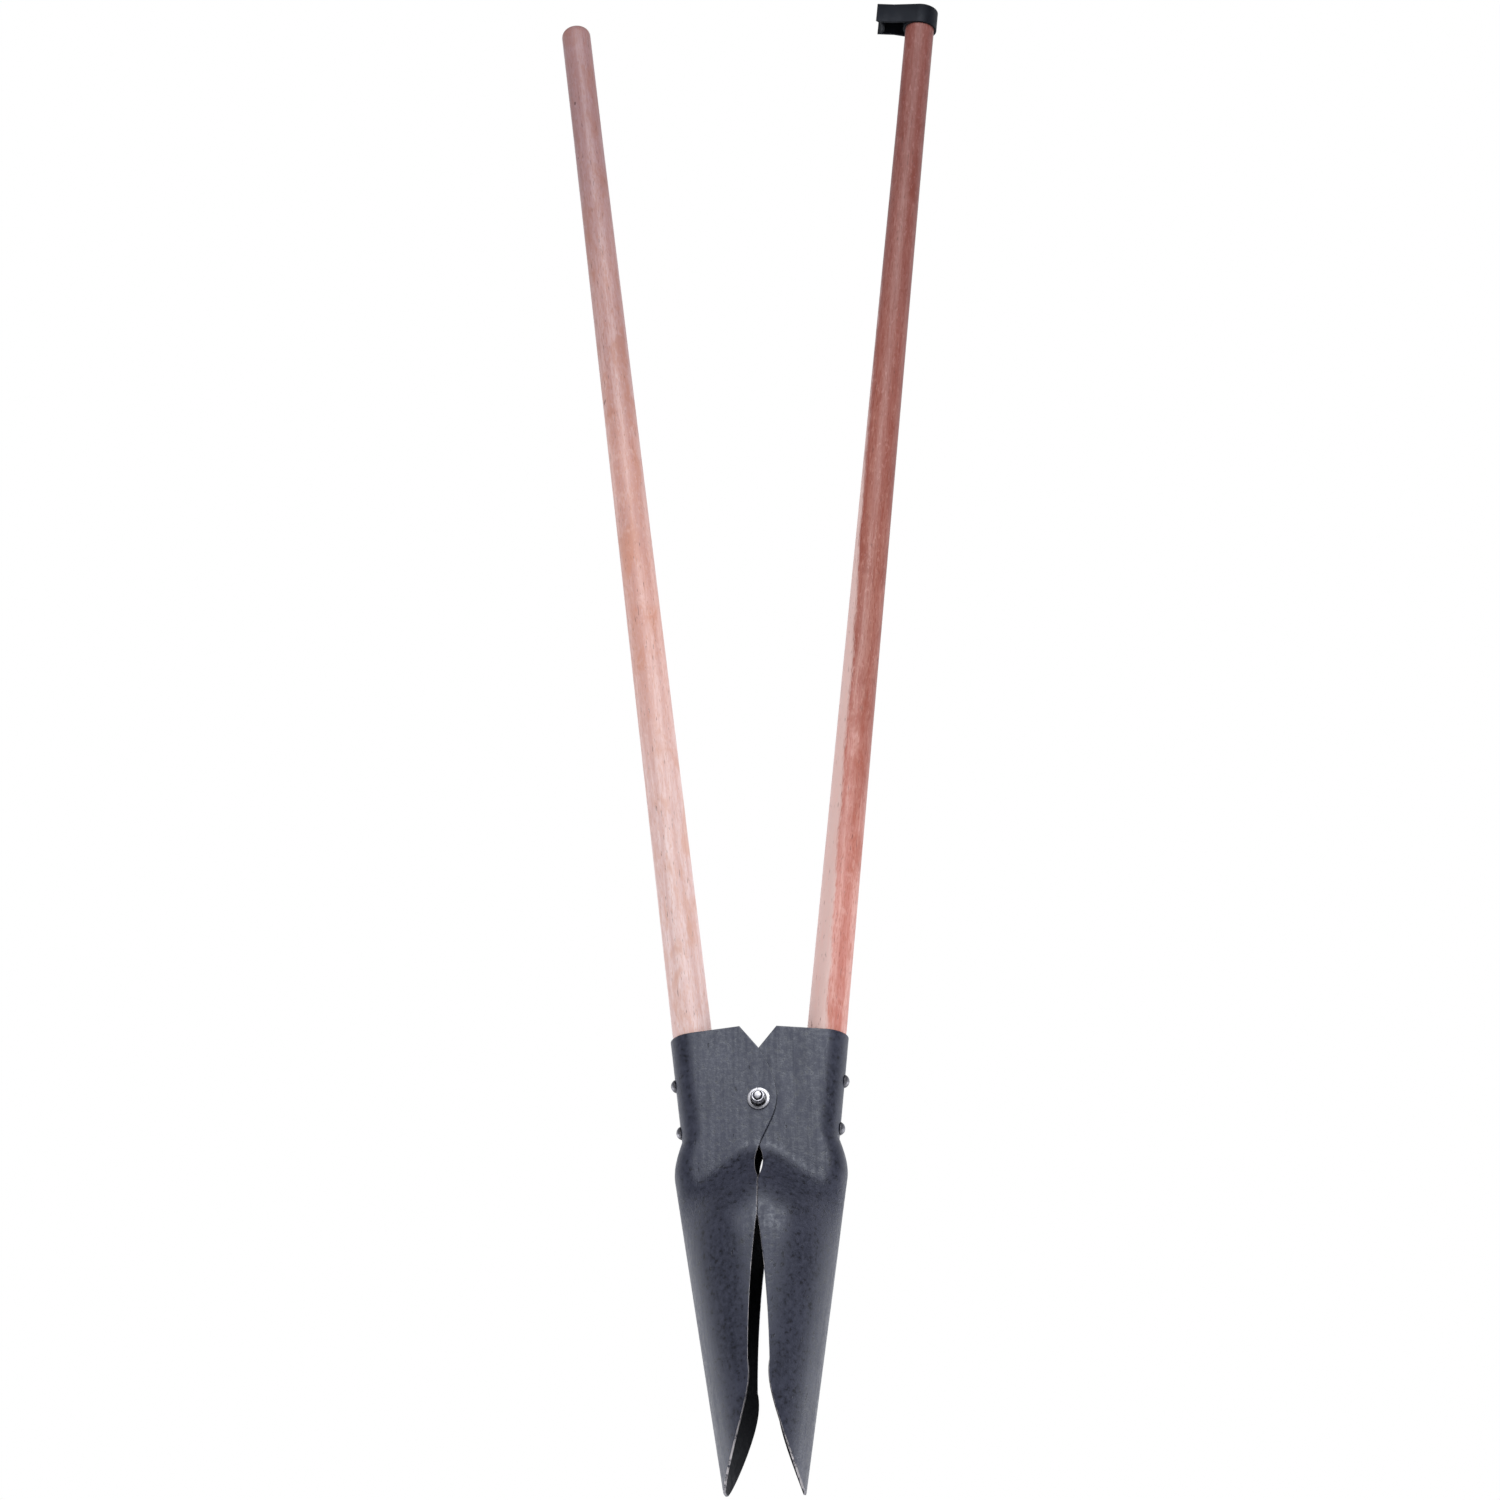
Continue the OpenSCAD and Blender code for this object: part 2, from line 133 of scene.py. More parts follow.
class Recipe:
    """Thin writer for a node tree: adds nodes and links by name."""

    def __init__(self, tree: bpy.types.NodeTree) -> None:
        """Takes the tree to write in.

        Args:
            tree: A shader or geometry node tree.
        """
        self.tree = tree

    def feed(self, socket: bpy.types.NodeSocket, value: Any) -> None:
        """Links an output to an input, or sets the input's own value.

        Args:
            socket: The input.
            value: An output socket, a number or a colour.
        """
        if isinstance(value, bpy.types.NodeSocket):
            self.tree.links.new(value, socket)
        elif socket.type == "RGBA":
            socket.default_value = (*value, 1.0)[:4]
        else:
            socket.default_value = value

    def add(self, kind: str, inputs: dict[Any, Any] | None = None, **props: Any) -> bpy.types.Node:
        """Adds a node.

        Args:
            kind: Node type name.
            inputs: Values or output sockets for its inputs, by name or number.
            **props: Values of the node's own properties.

        Returns:
            The new node.
        """
        node = self.tree.nodes.new(kind)
        for name, value in props.items():
            setattr(node, name, value)
        for name, value in (inputs or {}).items():
            self.feed(node.inputs[name], value)
        return node

    def math(self, operation: str, *values: Any) -> bpy.types.NodeSocket:
        """Adds a Math node that works on numbers or sockets, and returns its value."""
        return self.add("ShaderNodeMath", dict(enumerate(values)), operation=operation).outputs[0]

    def times(self, first: Any, second: Any) -> bpy.types.NodeSocket:
        """Multiplies two numbers or sockets."""
        return self.math("MULTIPLY", first, second)

    def total(self, *values: Any) -> bpy.types.NodeSocket:
        """Adds up numbers or sockets.

        Args:
            *values: Two or more numbers or sockets.

        Returns:
            The sum's socket.
        """
        result = values[0]
        for value in values[1:]:
            result = self.math("ADD", result, value)
        return result

    def split(self, place: Any) -> Any:
        """Outputs X, Y and Z of a vector socket."""
        return self.add("ShaderNodeSeparateXYZ", {"Vector": place}).outputs

    def span(self, value: Any, low: float, high: float, out_low: float = 0.0, out_high: float = 1.0,
             smooth: bool = True) -> bpy.types.NodeSocket:
        """Maps a value from one span to another, held at both ends.

        Args:
            value: Socket to map.
            low: Value that gives out_low.
            high: Value that gives out_high.
            out_low: Result at low.
            out_high: Result at high.
            smooth: Whether the step is eased.

        Returns:
            The output socket.
        """
        ends = {"From Min": low, "From Max": high, "To Min": out_low, "To Max": out_high}
        step = "SMOOTHSTEP" if smooth else "LINEAR"
        node = self.add("ShaderNodeMapRange", {"Value": value, **ends}, interpolation_type=step)
        return node.outputs["Result"]

    def pattern(self, place: Any, look: Pattern) -> bpy.types.NodeSocket:
        """Adds a noise pattern.

        Args:
            place: Socket with the coordinates.
            look: What the pattern is like.

        Returns:
            The noise's value.
        """
        scale = look.scale
        if isinstance(scale, tuple):
            place, scale = self.add("ShaderNodeMapping", {"Vector": place, "Scale": scale}).outputs[0], 1.0
        return self.add("ShaderNodeTexNoise", {
            "Vector": place, "Scale": scale, "Detail": look.octaves, "Roughness": look.rough,
            "Distortion": look.swirl,
        }).outputs[0]

    def blend(self, share: Any, first: Any, second: Any, mode: str = "MIX") -> bpy.types.NodeSocket:
        """Mixes two colours.

        Args:
            share: Share of the second colour.
            first: First colour.
            second: Second colour.
            mode: Blend mode.

        Returns:
            The mixed colour.
        """
        return self.add("ShaderNodeMix", {0: share, 6: first, 7: second},
                        data_type="RGBA", blend_type=mode).outputs[2]

    def layers(self, base: Any, coats: Sequence[tuple[Any, float, float, float, Colour]]) -> Any:
        """Lays colours over a base, one after another.

        Args:
            base: Colour underneath.
            coats: For each colour its pattern, the values at which it starts and is full, its
                largest share, and the colour itself.

        Returns:
            The finished colour.
        """
        for pattern, start, full, share, colour in coats:
            base = self.blend(self.span(pattern, start, full, 0.0, share), base, colour)
        return base

    def surface(self, shader: bpy.types.Node, inputs: dict[str, Any], height: Any, strength: float,
                depth: float) -> None:
        """Feeds a Principled shader and gives it a bump.

        Args:
            shader: The shader.
            inputs: Values or sockets for its inputs, by name.
            height: Height of the bump.
            strength: Strength of the bump.
            depth: Depth of the bump, in metres.
        """
        bump = self.add("ShaderNodeBump", {"Strength": strength, "Distance": depth, "Height": height})
        for name, value in {**inputs, "Normal": bump.outputs[0]}.items():
            self.feed(shader.inputs[name], value)


def new_material(name: str) -> tuple[bpy.types.Material, Recipe, bpy.types.Node]:
    """Makes a material with one Principled shader.

    Args:
        name: Material name.

    Returns:
        The material, the writer of its tree, and its shader node.
    """
    material = bpy.data.materials.new(name)
    material.use_nodes = True
    material.node_tree.nodes.clear()
    recipe = Recipe(material.node_tree)
    shader = recipe.add("ShaderNodeBsdfPrincipled")
    recipe.add("ShaderNodeOutputMaterial", {"Surface": shader.outputs[0]})
    return material, recipe, shader


def object_place(recipe: Recipe, turn: Sequence[float] = (0, 0, 0), scale: Sequence[float] = (1, 1, 1),
                 shift: Sequence[float] = (0, 0, 0)) -> bpy.types.NodeSocket:
    """Gives Object coordinates, turned and scaled for a pattern.

    Args:
        recipe: Writer of the material's tree.
        turn: Turn about each axis, in radians.
        scale: Scale along each axis.
        shift: Shift along each axis.

    Returns:
        The coordinates' socket.
    """
    source = recipe.add("ShaderNodeTexCoord").outputs["Object"]
    return recipe.add("ShaderNodeMapping", {
        "Vector": source, "Rotation": turn, "Scale": scale, "Location": shift,
    }).outputs[0]


@dataclass(frozen=True)
class CoatedSteel:
    """Dark satin coating over pressed sheet: orange peel, press marks, specks, worn edges and painted shade
    on the inner skin.
    """

    name: str = "coated_steel"
    coat: Colour = linear(43, 45, 58)
    haze: Colour = linear(58, 60, 75)
    speck: Colour = linear(20, 20, 24)
    bare: Colour = linear(196, 192, 194)
    # Near-black painted shade for the inner skin; the same colour also darkens the edges above the wear
    # level.
    inside: Colour = linear(15, 15, 17)
    sheen: Colour = (0.84, 0.89, 1.0)
    gloss: float = 0.44
    cloud: Pattern = Pattern(24, 4)
    mottle: Pattern = Pattern(230, 4, 0.65)
    peel: Pattern = Pattern(620, 2, 0.5)
    dents: Pattern = Pattern(300, 3, 0.6, 0.8)
    streak: Pattern = Pattern((210, 210, 9))
    pits: Pattern = Pattern((260, 260, 90), 2, 0.5)
    breakup: Pattern = Pattern(260)
    dent_depth: float = 3.4
    pit_depth: float = 0.8

    def make(self) -> bpy.types.Material:
        """Returns the finish as a material."""
        material, r, shader = new_material(self.name)
        place = object_place(r)
        stretch, worn, hollow = (
            r.add("ShaderNodeAttribute", attribute_name=key).outputs["Fac"]
            for key in ("stretch", "edge", "hollow"))
        mottle, streak = r.pattern(place, self.mottle), r.pattern(place, self.streak)
        pits = r.span(r.pattern(place, self.pits), 0.71, 0.75)
        colour = r.layers(self.coat, (
            (r.pattern(place, self.cloud), 0.35, 0.7, 0.6, self.haze),
            (mottle, 0.48, 0.66, 0.75, self.haze),
            (mottle, 0.46, 0.33, 0.8, self.speck),
            (streak, 0.56, 0.72, 0.22, self.haze),
        ))
        colour = r.blend(r.times(pits, 0.8), colour, self.speck)
        # Painted shade: the inner skin is darkened almost to black.
        colour = r.blend(r.times(hollow, 0.95), colour, self.inside)
        # The edge value is above 0 where an edge is rubbed bare, and below 0 where the edge is darkened to
        # the near-black of the inner skin.
        rubbed = r.times(r.span(worn, 0.35, 0.9), r.span(r.pattern(place, self.breakup), 0.3, 0.52))
        colour = r.blend(r.span(worn, -0.25, -0.8), colour, self.inside)
        colour = r.blend(rubbed, colour, self.bare)
        rough = r.total(r.span(mottle, 0.3, 0.7, self.gloss - 0.07, self.gloss + 0.13),
                        r.span(streak, 0.4, 0.7, -0.04, 0.06), r.times(hollow, 0.4))
        fine = r.total(r.times(r.pattern(place, self.peel), 0.35), r.times(mottle, 0.8))
        press = r.times(r.pattern(place, self.dents), r.times(stretch, self.dent_depth))
        height = r.total(fine, press, r.times(pits, -self.pit_depth))
        inputs = {"Base Color": colour, "Roughness": rough, "Metallic": rubbed, "Specular Tint": self.sheen}
        r.surface(shader, inputs, height, strength=0.5, depth=0.0004)
        return material


@dataclass(frozen=True)
class TurnedWood:
    """Lacquered turned hardwood whose grain runs along a leaning handle.

    Heights are in metres above the tips. The wood is palest at its foot, warmer from the middle
    up, and greys towards the grip. One with a sap colour has a strip of sapwood on its inner side.
    """

    name: str
    side: Side
    pale: Colour
    deep: Colour
    patch: Colour
    fleck: Colour
    warmth: Colour
    patina: Colour
    seed: float
    sap: Colour | None = None
    sap_share: float = 0.92
    sap_heights: tuple[float, float] = (0.40, 1.18)
    sap_edges: tuple[float, float] = (0.0005, -0.0165)
    warm_heights: tuple[float, float] = (0.5, 0.9)
    grey_heights: tuple[float, float] = (0.85, 1.42)
    splay: float = 5.95
    axis_out: float = 54.5
    gloss: float = 0.5
    lacquer: float = 0.12
    bands: Pattern = drawn(95, 2.6, 4, 0.4)
    fibre: Pattern = drawn(420, 26)
    fine: Pattern = drawn(1100, 130, 2)
    patches: Pattern = drawn(42, 17, 4, 0.8)
    blots: Pattern = drawn(90, 60, 3, 0.5)
    pores: Pattern = drawn(700, 90, 2)
    shimmer: Pattern = drawn(420, 150, 2)
    knots: Pattern = drawn(90, 75, 1)
    drift: Pattern = drawn(12, 3)
    wander: Pattern = drawn(30, 6)

    def make(self) -> bpy.types.Material:
        """Returns the finish as a material."""
        material, r, shader = new_material(self.name)
        shift = (self.seed, self.seed * 0.7, self.seed * 0.3)
        along = object_place(r, turn=(0, -self.lean, 0), shift=shift)
        fibre, fine = r.pattern(along, self.fibre), r.pattern(along, self.fine)
        pores = r.span(r.pattern(along, self.pores), 0.64, 0.72)
        shimmer = r.span(r.pattern(along, self.shimmer), 0.56, 0.70)
        knots = r.span(r.pattern(along, self.knots), 0.80, 0.83)
        colour = r.layers(self.pale, (
            (r.pattern(along, self.bands), 0.34, 0.66, 0.8, self.deep),
            (r.pattern(along, self.patches), 0.48, 0.66, 0.8, self.patch),
            (r.pattern(along, self.blots), 0.52, 0.72, 0.6, self.pale),
            (fibre, 0.45, 0.72, 0.6, self.deep),
            (fine, 0.5, 0.64, 0.6, self.patch),
        ))
        drift = r.span(r.pattern(along, self.drift), 0.3, 0.7, -0.07, 0.07)
        level = r.total(r.split(object_place(r))["Z"], drift)
        colour = r.blend(r.span(level, *self.warm_heights), colour, self.warmth, "MULTIPLY")
        if self.sap is not None:
            spot = r.split(self.upright(r))
            reach = r.span(spot["Z"], *self.sap_heights, *self.sap_edges, smooth=False)
            edge = r.total(r.math("SUBTRACT", spot["X"], reach),
                           r.span(r.pattern(along, self.wander), 0.3, 0.7, -0.003, 0.003, smooth=False),
                           r.span(fine, 0.3, 0.7, -0.0012, 0.0012, smooth=False))
            pale = r.blend(r.span(fibre, 0.45, 0.8, 0.0, 0.35), self.sap, self.pale)
            colour = r.blend(r.span(edge, 0.0022, -0.0022, 0.0, self.sap_share), colour, pale)
        marks = ((pores, 0.6, self.fleck), (shimmer, 0.2, self.pale), (knots, 0.8, self.fleck))
        for share, strength, tint in marks:
            colour = r.blend(r.times(share, strength), colour, tint)
        colour = r.blend(r.span(level, *self.grey_heights), colour, self.patina, "MULTIPLY")
        rough = r.span(fibre, 0.3, 0.75, self.gloss, self.gloss + 0.14)
        height = r.total(r.times(fibre, 0.7), r.times(pores, -0.9), r.times(fine, 0.3))
        inputs = {"Base Color": colour, "Roughness": rough, "Coat Weight": self.lacquer,
                  "Coat Roughness": 0.45}
        r.surface(shader, inputs, height, strength=0.35, depth=0.0003)
        return material

    @property
    def lean(self) -> float:
        """Lean of the handle from upright, towards +X, in radians."""
        return math.radians(self.splay) * (1 if self.side is Side.RIGHT else -1)

    def upright(self, r: Recipe) -> bpy.types.NodeSocket:
        """Coordinates from the handle's own axis: x across it, z along it.

        Args:
            r: Writer of the material's tree.

        Returns:
            The coordinates' socket.
        """
        out = self.axis_out * MM * (1 if self.side is Side.RIGHT else -1)
        high = JAW.pivot_h * MM
        shift = (high * math.sin(self.lean) - out, 0, high - high * math.cos(self.lean))
        return object_place(r, turn=(0, -self.lean, 0), shift=shift)


@dataclass(frozen=True)
class PlatedMetal:
    """Plated steel with fine scratches, dull patches and two rings of painted shade round the pivot, at the
    bolt's end and round the nut.
    """

    name: str
    plate: Colour
    dull: Colour
    gloss: float
    oil: Colour = linear(30, 29, 30)
    oiled: tuple[tuple[float, float], ...] = ((0.0038, 0.0008), (0.0073, 0.0012))
    patches: Pattern = Pattern(420, 4)
    grit: Pattern = Pattern(2600, 2, 0.5)
    scratch: Pattern = Pattern(1.0, 2, 0.5)
    scratch_turn: tuple[float, float, float] = (0.3, 0.9, 0.4)
    scratch_scale: tuple[float, float, float] = (5200, 420, 420)

    def make(self) -> bpy.types.Material:
        """Returns the finish as a material."""
        material, r, shader = new_material(self.name)
        place = object_place(r)
        patches = r.pattern(place, self.patches)
        rubbed = object_place(r, turn=self.scratch_turn, scale=self.scratch_scale)
        scratch = r.pattern(rubbed, self.scratch)
        colour = r.blend(r.span(patches, 0.36, 0.72, 0.1, 0.8), self.plate, self.dull)
        spot = r.split(object_place(r, shift=(0, 0, -JAW.pivot_h * MM)))
        square = r.total(r.math("POWER", spot["X"], 2.0), r.math("POWER", spot["Z"], 2.0))
        far = r.total(r.math("SQRT", square), r.span(patches, 0.3, 0.7, -0.0003, 0.0003))
        # Painted shade: dark rings round the bolt's end and round the nut.
        for radius, half in self.oiled:
            ring = r.times(r.span(far, radius - half, radius), r.span(far, radius + half, radius))
            colour = r.blend(r.times(ring, 0.92), colour, self.oil)
        rough = r.total(r.span(patches, 0.35, 0.7, self.gloss + 0.06, self.gloss + 0.18),
                        r.span(scratch, 0.55, 0.75, 0.0, 0.08))
        height = r.total(r.times(r.pattern(place, self.grit), 0.5), scratch)
        inputs = {"Base Color": colour, "Roughness": rough, "Metallic": 1.0}
        r.surface(shader, inputs, height, strength=0.08, depth=0.00012)
        return material


@dataclass(frozen=True)
class MouldedPlastic:
    """Moulded plastic with a fine spark-eroded grain and faint flow marks."""

    name: str
    body: Colour
    scuff: Colour
    gloss: float
    sheen: Colour = (0.8, 0.87, 1.0)
    reflection: float = 0.22
    grain: Pattern = Pattern(1500, 2, 0.5)
    cloud: Pattern = Pattern(90, 4)
    marks: Pattern = Pattern((700, 260, 90))

    def make(self) -> bpy.types.Material:
        """Returns the finish as a material."""
        material, r, shader = new_material(self.name)
        place = object_place(r)
        cloud = r.pattern(place, self.cloud)
        marks = r.span(r.pattern(place, self.marks), 0.60, 0.74)
        colour = r.blend(r.span(cloud, 0.4, 0.7, 0.0, 0.4), self.body, self.scuff)
        colour = r.blend(r.times(marks, 0.25), colour, self.scuff)
        rough = r.span(cloud, 0.3, 0.7, self.gloss - 0.05, self.gloss + 0.1)
        height = r.total(r.pattern(place, self.grain), r.times(marks, 0.5))
        inputs = {"Base Color": colour, "Roughness": rough, "Specular IOR Level": self.reflection,
                  "Specular Tint": self.sheen}
        r.surface(shader, inputs, height, strength=0.3, depth=0.00012)
        return material


def ease(t: Array) -> Array:
    """Smooth step from 0 to 1."""
    c = np.clip(t, 0, 1)
    return c * c * (3 - 2 * c)


@dataclass
class Jaw:
    """Pressed-steel jaw: socket round the handle's foot, pivot lobe, flare and rolled scoop."""

    splay: float = 5.95
    foot_d: float = 36.5
    wood_gap: float = 0.25
    axis_out: float = 54.5
    sheet: float = 2.3
    flange_gap: float = 0.3
    edge_gap: float = 0.3
    socket_top: float = 73
    knee: float = 26
    corner_out: float = 9.5
    chamfer_h: float = 24
    chamfer_run: float = 15.5
    lobe_reach: float = 17.2
    lobe_rise: float = 4
    blade_len: float = 357
    blade_w: float = 115
    shoulder_reach: float = 10.5
    shoulder_h: float = 36
    tip_set_in: float = 11.5
    flare_start: float = 39
    flare_h: float = 72
    flare_slant: float = 0.6
    eye_depth: float = 64
    eye_half: float = 3.3
    eye_end: float = 81
    touch_end: float = 119
    point_start: float = 256
    part_gap: float = 9.4
    edge_sweep: float = 1.95
    point_full: float = 0.53
    tip_w: float = 24
    rivet_up: float = 30
    rivet_down: float = 16
    hole_d: float = 6.4
    pivot_hole_d: float = 8.2
    round_bias: float = 3.3
    edge_round: float = 0.45
    half_cols: int = 34
    rows: tuple[int, int, int, int] = (34, 56, 46, 36)
    wear: tuple[float, ...] = (0.8, 1.0, 1.0, 1.0, 0.6)
    rim_wear: float = 0.35
    wear_level: float = -30
    wear_fade: float = 20

    def __post_init__(self) -> None:
        """Works out the sizes that follow from the fields."""
        self.socket_r = self.foot_d / 2 + self.wood_gap + self.sheet
        self.socket_out = self.axis_out + self.socket_r
        self.shoulder_end = self.knee + self.shoulder_h
        drop = self.flare_slant * (self.socket_out - self.lobe_reach)
        self.flare_end = self.flare_start + drop + self.flare_h
        self.half_w = self.blade_w / 2
        self.jaw_offset = (self.sheet + self.flange_gap) / 2
        self.chamfer_end = self.socket_top - self.chamfer_h
        self.chamfer_in = self.corner_out - self.chamfer_run
        lean = math.radians(self.splay)
        low = float(self.wall_out(np.array(-self.blade_len)))
        self.pivot_h = self.blade_len * math.cos(lean) + low * math.sin(lean)

    def wall_out(self, z: Array) -> Array:
        """Outer line of the jaw, seen from the front, at height z."""
        bulge = np.sin(np.radians(90 * np.clip((-self.knee - z) / self.shoulder_h, 0, 1)))
        run = np.clip((-self.shoulder_end - z) / (self.blade_len - self.shoulder_end), 0, None)
        return self.socket_out + self.shoulder_reach * bulge - self.tip_set_in * run

    def meet_out(self, z: Array) -> Array:
        """Plane on which the shut edges meet, less half their gap, at height z."""
        lean = math.radians(self.splay)
        return -z * math.tan(lean) + self.edge_gap / 2 / math.cos(lean)

    def edge(self, z: Array) -> Array:
        """Inner edge of the flanges and the blade, seen from the front, at height z."""
        chamfer = self.corner_out - self.chamfer_run * (self.socket_top - z) / self.chamfer_h
        rise = np.clip((z - self.lobe_rise) / (self.chamfer_end - self.lobe_rise), 0, 1)
        lobe = -self.lobe_reach + (self.lobe_reach + self.chamfer_in) * rise ** 2
        eye_out = self.meet_out(-self.eye_depth) + self.eye_half
        swing = np.cos(np.pi * (self.lobe_rise - z) / (self.lobe_rise + self.eye_depth))
        neck = (eye_out - self.lobe_reach) / 2 - (eye_out + self.lobe_reach) / 2 * swing
        shut = (-self.eye_depth - z) / (self.eye_end - self.eye_depth)
        eye = self.meet_out(z) + self.eye_half * np.cos(np.pi / 2 * np.clip(shut, 0, 1))
        parted = np.clip((-self.touch_end - z) / (self.point_start - self.touch_end), 0, 1)
        sweep = self.meet_out(z) + self.part_gap * (1 - (1 - parted) ** self.edge_sweep)
        bounds = [z > self.chamfer_end, z > self.lobe_rise, z > -self.eye_depth, z > -self.touch_end]
        return np.select(bounds, [chamfer, lobe, neck, eye], sweep)

    def flare_run(self, x: Array, z: Array) -> Array:
        """Share of the flare's height that lies above a place, from its slanted crease down."""
        drop = self.flare_start + self.flare_slant * np.maximum(0, x - self.lobe_reach)
        return (-drop - z) / self.flare_h

    def flank(self, x: Array, z: Array) -> Array:
        """Half width of the jaw at a place on its flank, which opens fast and ends softly."""
        run = self.flare_run(x, z)
        fade = 1 - (1 - np.clip(run - 0.5, 0, 1)) ** 3 / 2
        return self.socket_r + (self.half_w - self.socket_r) * np.where(run < 0.5, ease(run), fade)

    def point_half(self, z: Array) -> Array:
        """Half width of the rounded point at height z."""
        full = math.sqrt(1 - (self.tip_w / self.blade_w) ** (1 / self.point_full))
        run = np.clip((-self.point_start - z) / (self.blade_len - self.point_start), 0, 1)
        return self.half_w * (1 - (full * run) ** 2) ** self.point_full

    def bow(self, z: Array) -> Array:
        """Radius of the arc through both edges and the outer line at height z."""
        deep = self.wall_out(z) - self.edge(z)
        return (self.half_w ** 2 + deep ** 2) / 2 / deep

    def skin(self, q: Array, z: Array) -> Array:
        """Points of the outer skin.

        Args:
            q: Place across the sheet, from -1 on the front edge to 1 on the rear edge.
            z: Height in the jaw frame.

        Returns:
            The points, with x, y and z last.
        """
        q, z = np.broadcast_arrays(np.asarray(q, float), np.asarray(z, float))
        size, side = np.abs(q), np.sign(q)
        out = self.wall_out(z)
        round_r = self.flank(np.full_like(z, self.axis_out), z)
        flat = out - round_r - self.edge(z)
        turn = self.round_bias * np.pi / 2 * round_r
        share = turn / (turn + np.maximum(flat, 1e-9))
        angle = np.pi / 2 * np.minimum(size / share, 1)
        beyond = np.clip((size - share) / np.maximum(1 - share, 1e-9), 0, 1)
        on_arc = size < share
        x = np.where(on_arc, out - round_r + round_r * np.cos(angle), out - round_r - flat * beyond)
        y = side * self.flank(x, z) * np.where(on_arc, np.sin(angle), 1)
        top_bow, tip_bow = self.bow(z), float(self.bow(np.array(-self.point_start)))
        in_point = z <= -self.point_start
        radius = np.where(in_point, tip_bow, top_bow)
        half = np.where(in_point, self.point_half(z), self.half_w)
        wide = size * np.arcsin(np.clip(half / radius, -1, 1))
        bowed = in_point | (flat <= 0)
        x = np.where(bowed, out - radius + radius * np.cos(wide), x)
        y = np.where(bowed, side * radius * np.sin(wide), y)
        return np.stack([x, y, z], -1)

    def inner_skin(self, q: Array, z: Array) -> Array:
        """Points of the inner skin that match skin(q, z)."""
        q, z = np.broadcast_arrays(np.asarray(q, float), np.asarray(z, float))
        here = self.skin(q, z)
        across = self.skin(np.minimum(1, q + 0.01), z) - self.skin(np.maximum(-1, q - 0.01), z)
        upper, lower = np.minimum(self.socket_top, z + 0.5), np.maximum(-self.blade_len, z - 0.5)
        normal = np.cross(across, self.skin(q, upper) - self.skin(q, lower))
        normal /= np.linalg.norm(normal, axis=-1, keepdims=True)
        inner = here - self.sheet * normal
        held = np.maximum(inner[..., 0], self.edge(z))
        inner[..., 0] = np.where(z > -self.point_start, held, inner[..., 0])
        inner[..., 2] = np.where(z > -self.knee, z, inner[..., 2])
        return inner

    def levels(self) -> Array:
        """Heights of the mesh's rows, from the socket's top to the tip, with tight rows at both ends."""
        marks = [self.socket_top - self.edge_round, -self.knee, -self.flare_end, -self.point_start]
        parts = [np.linspace(a, b, n, endpoint=False) for a, b, n in zip(marks, marks[1:], self.rows)]
        run = np.sin(np.linspace(0, np.pi / 2, self.rows[3] + 1))
        low = self.blade_len - self.edge_round - self.point_start
        parts.append(-self.point_start - low * run)
        kinks = [self.socket_top - 3 * self.edge_round, self.chamfer_end, self.lobe_rise]
        return np.array(sorted(np.unique(np.round(np.concatenate(parts + [kinks]), 4)), reverse=True))

    def inset(self, z: Array) -> Array:
        """Share of q that the rounding of the edge takes at height z."""
        steps, most = 59, 0.12
        q = np.linspace(0, 1, steps + 1)
        line = self.skin(q[None, :], np.asarray(z, float).reshape(-1, 1))
        length = np.linalg.norm(np.diff(line, axis=1), axis=2).sum(1)
        slope = np.linalg.norm(line[:, -1] - line[:, -2], axis=1) * steps
        return np.minimum(self.edge_round / np.minimum(slope, length * 4), most)

    def columns(self, z: Array) -> Array:
        """Places across the sheet of each row's points.

        The last two on each side stand close together, so that the shading turns only at the edge.

        Args:
            z: Heights of the rows.

        Returns:
            The values of q, a row for each height.
        """
        trim = self.inset(z)[:, None]
        base = np.linspace(-1, 1, 2 * self.half_cols + 1)
        last, tight = 1.0, 2.0
        cols = np.concatenate([[-last, -tight], base[1:-1], [tight, last]])
        size, side = np.abs(cols), np.sign(cols)
        near = side * np.minimum(1 - 3 * trim, 0.9995)
        q = np.where(size == tight, near, np.where(size == last, side * (1 - trim), cols * (1 - 3.6 * trim)))
        return np.sort(q, axis=1)

    def mesh(self) -> tuple[Array, list[Face], dict[str, Array]]:
        """Shell of the jaw with rounded edges, in the jaw frame.

        Returns:
            The points, the faces, and the values of edge, stretch and hollow on each point.
        """
        z = self.levels()
        q = self.columns(z)
        n_rows, n_cols = q.shape
        zz = np.broadcast_to(z[:, None], q.shape)
        outer, inner = self.skin(q, zz), self.inner_skin(q, zz)
        ring = (
            [(0, j) for j in range(n_cols)]
            + [(i, n_cols - 1) for i in range(1, n_rows)]
            + [(n_rows - 1, j) for j in range(n_cols - 2, -1, -1)]
            + [(i, 0) for i in range(n_rows - 2, 0, -1)]
        )
        rim_i, rim_j = np.array(ring).T
        rim_q, rim_z = q[rim_i, rim_j], z[rim_i].copy()
        rim_q[rim_j == 0], rim_q[rim_j == n_cols - 1] = -1.0, 1.0
        rim_z[rim_i == 0], rim_z[rim_i == n_rows - 1] = self.socket_top, -self.blade_len
        lip_out, lip_in = self.skin(rim_q, rim_z), self.inner_skin(rim_q, rim_z)
        share = self.edge_round / self.sheet
        a, d = outer[rim_i, rim_j], inner[rim_i, rim_j]
        b, c = lip_out + (lip_in - lip_out) * share, lip_in + (lip_out - lip_in) * share
        loops = [(a + 2 * lip_out + b) / 4, b, (b + c) / 2, c, (d + 2 * lip_in + c) / 4]
        grid = n_rows * n_cols
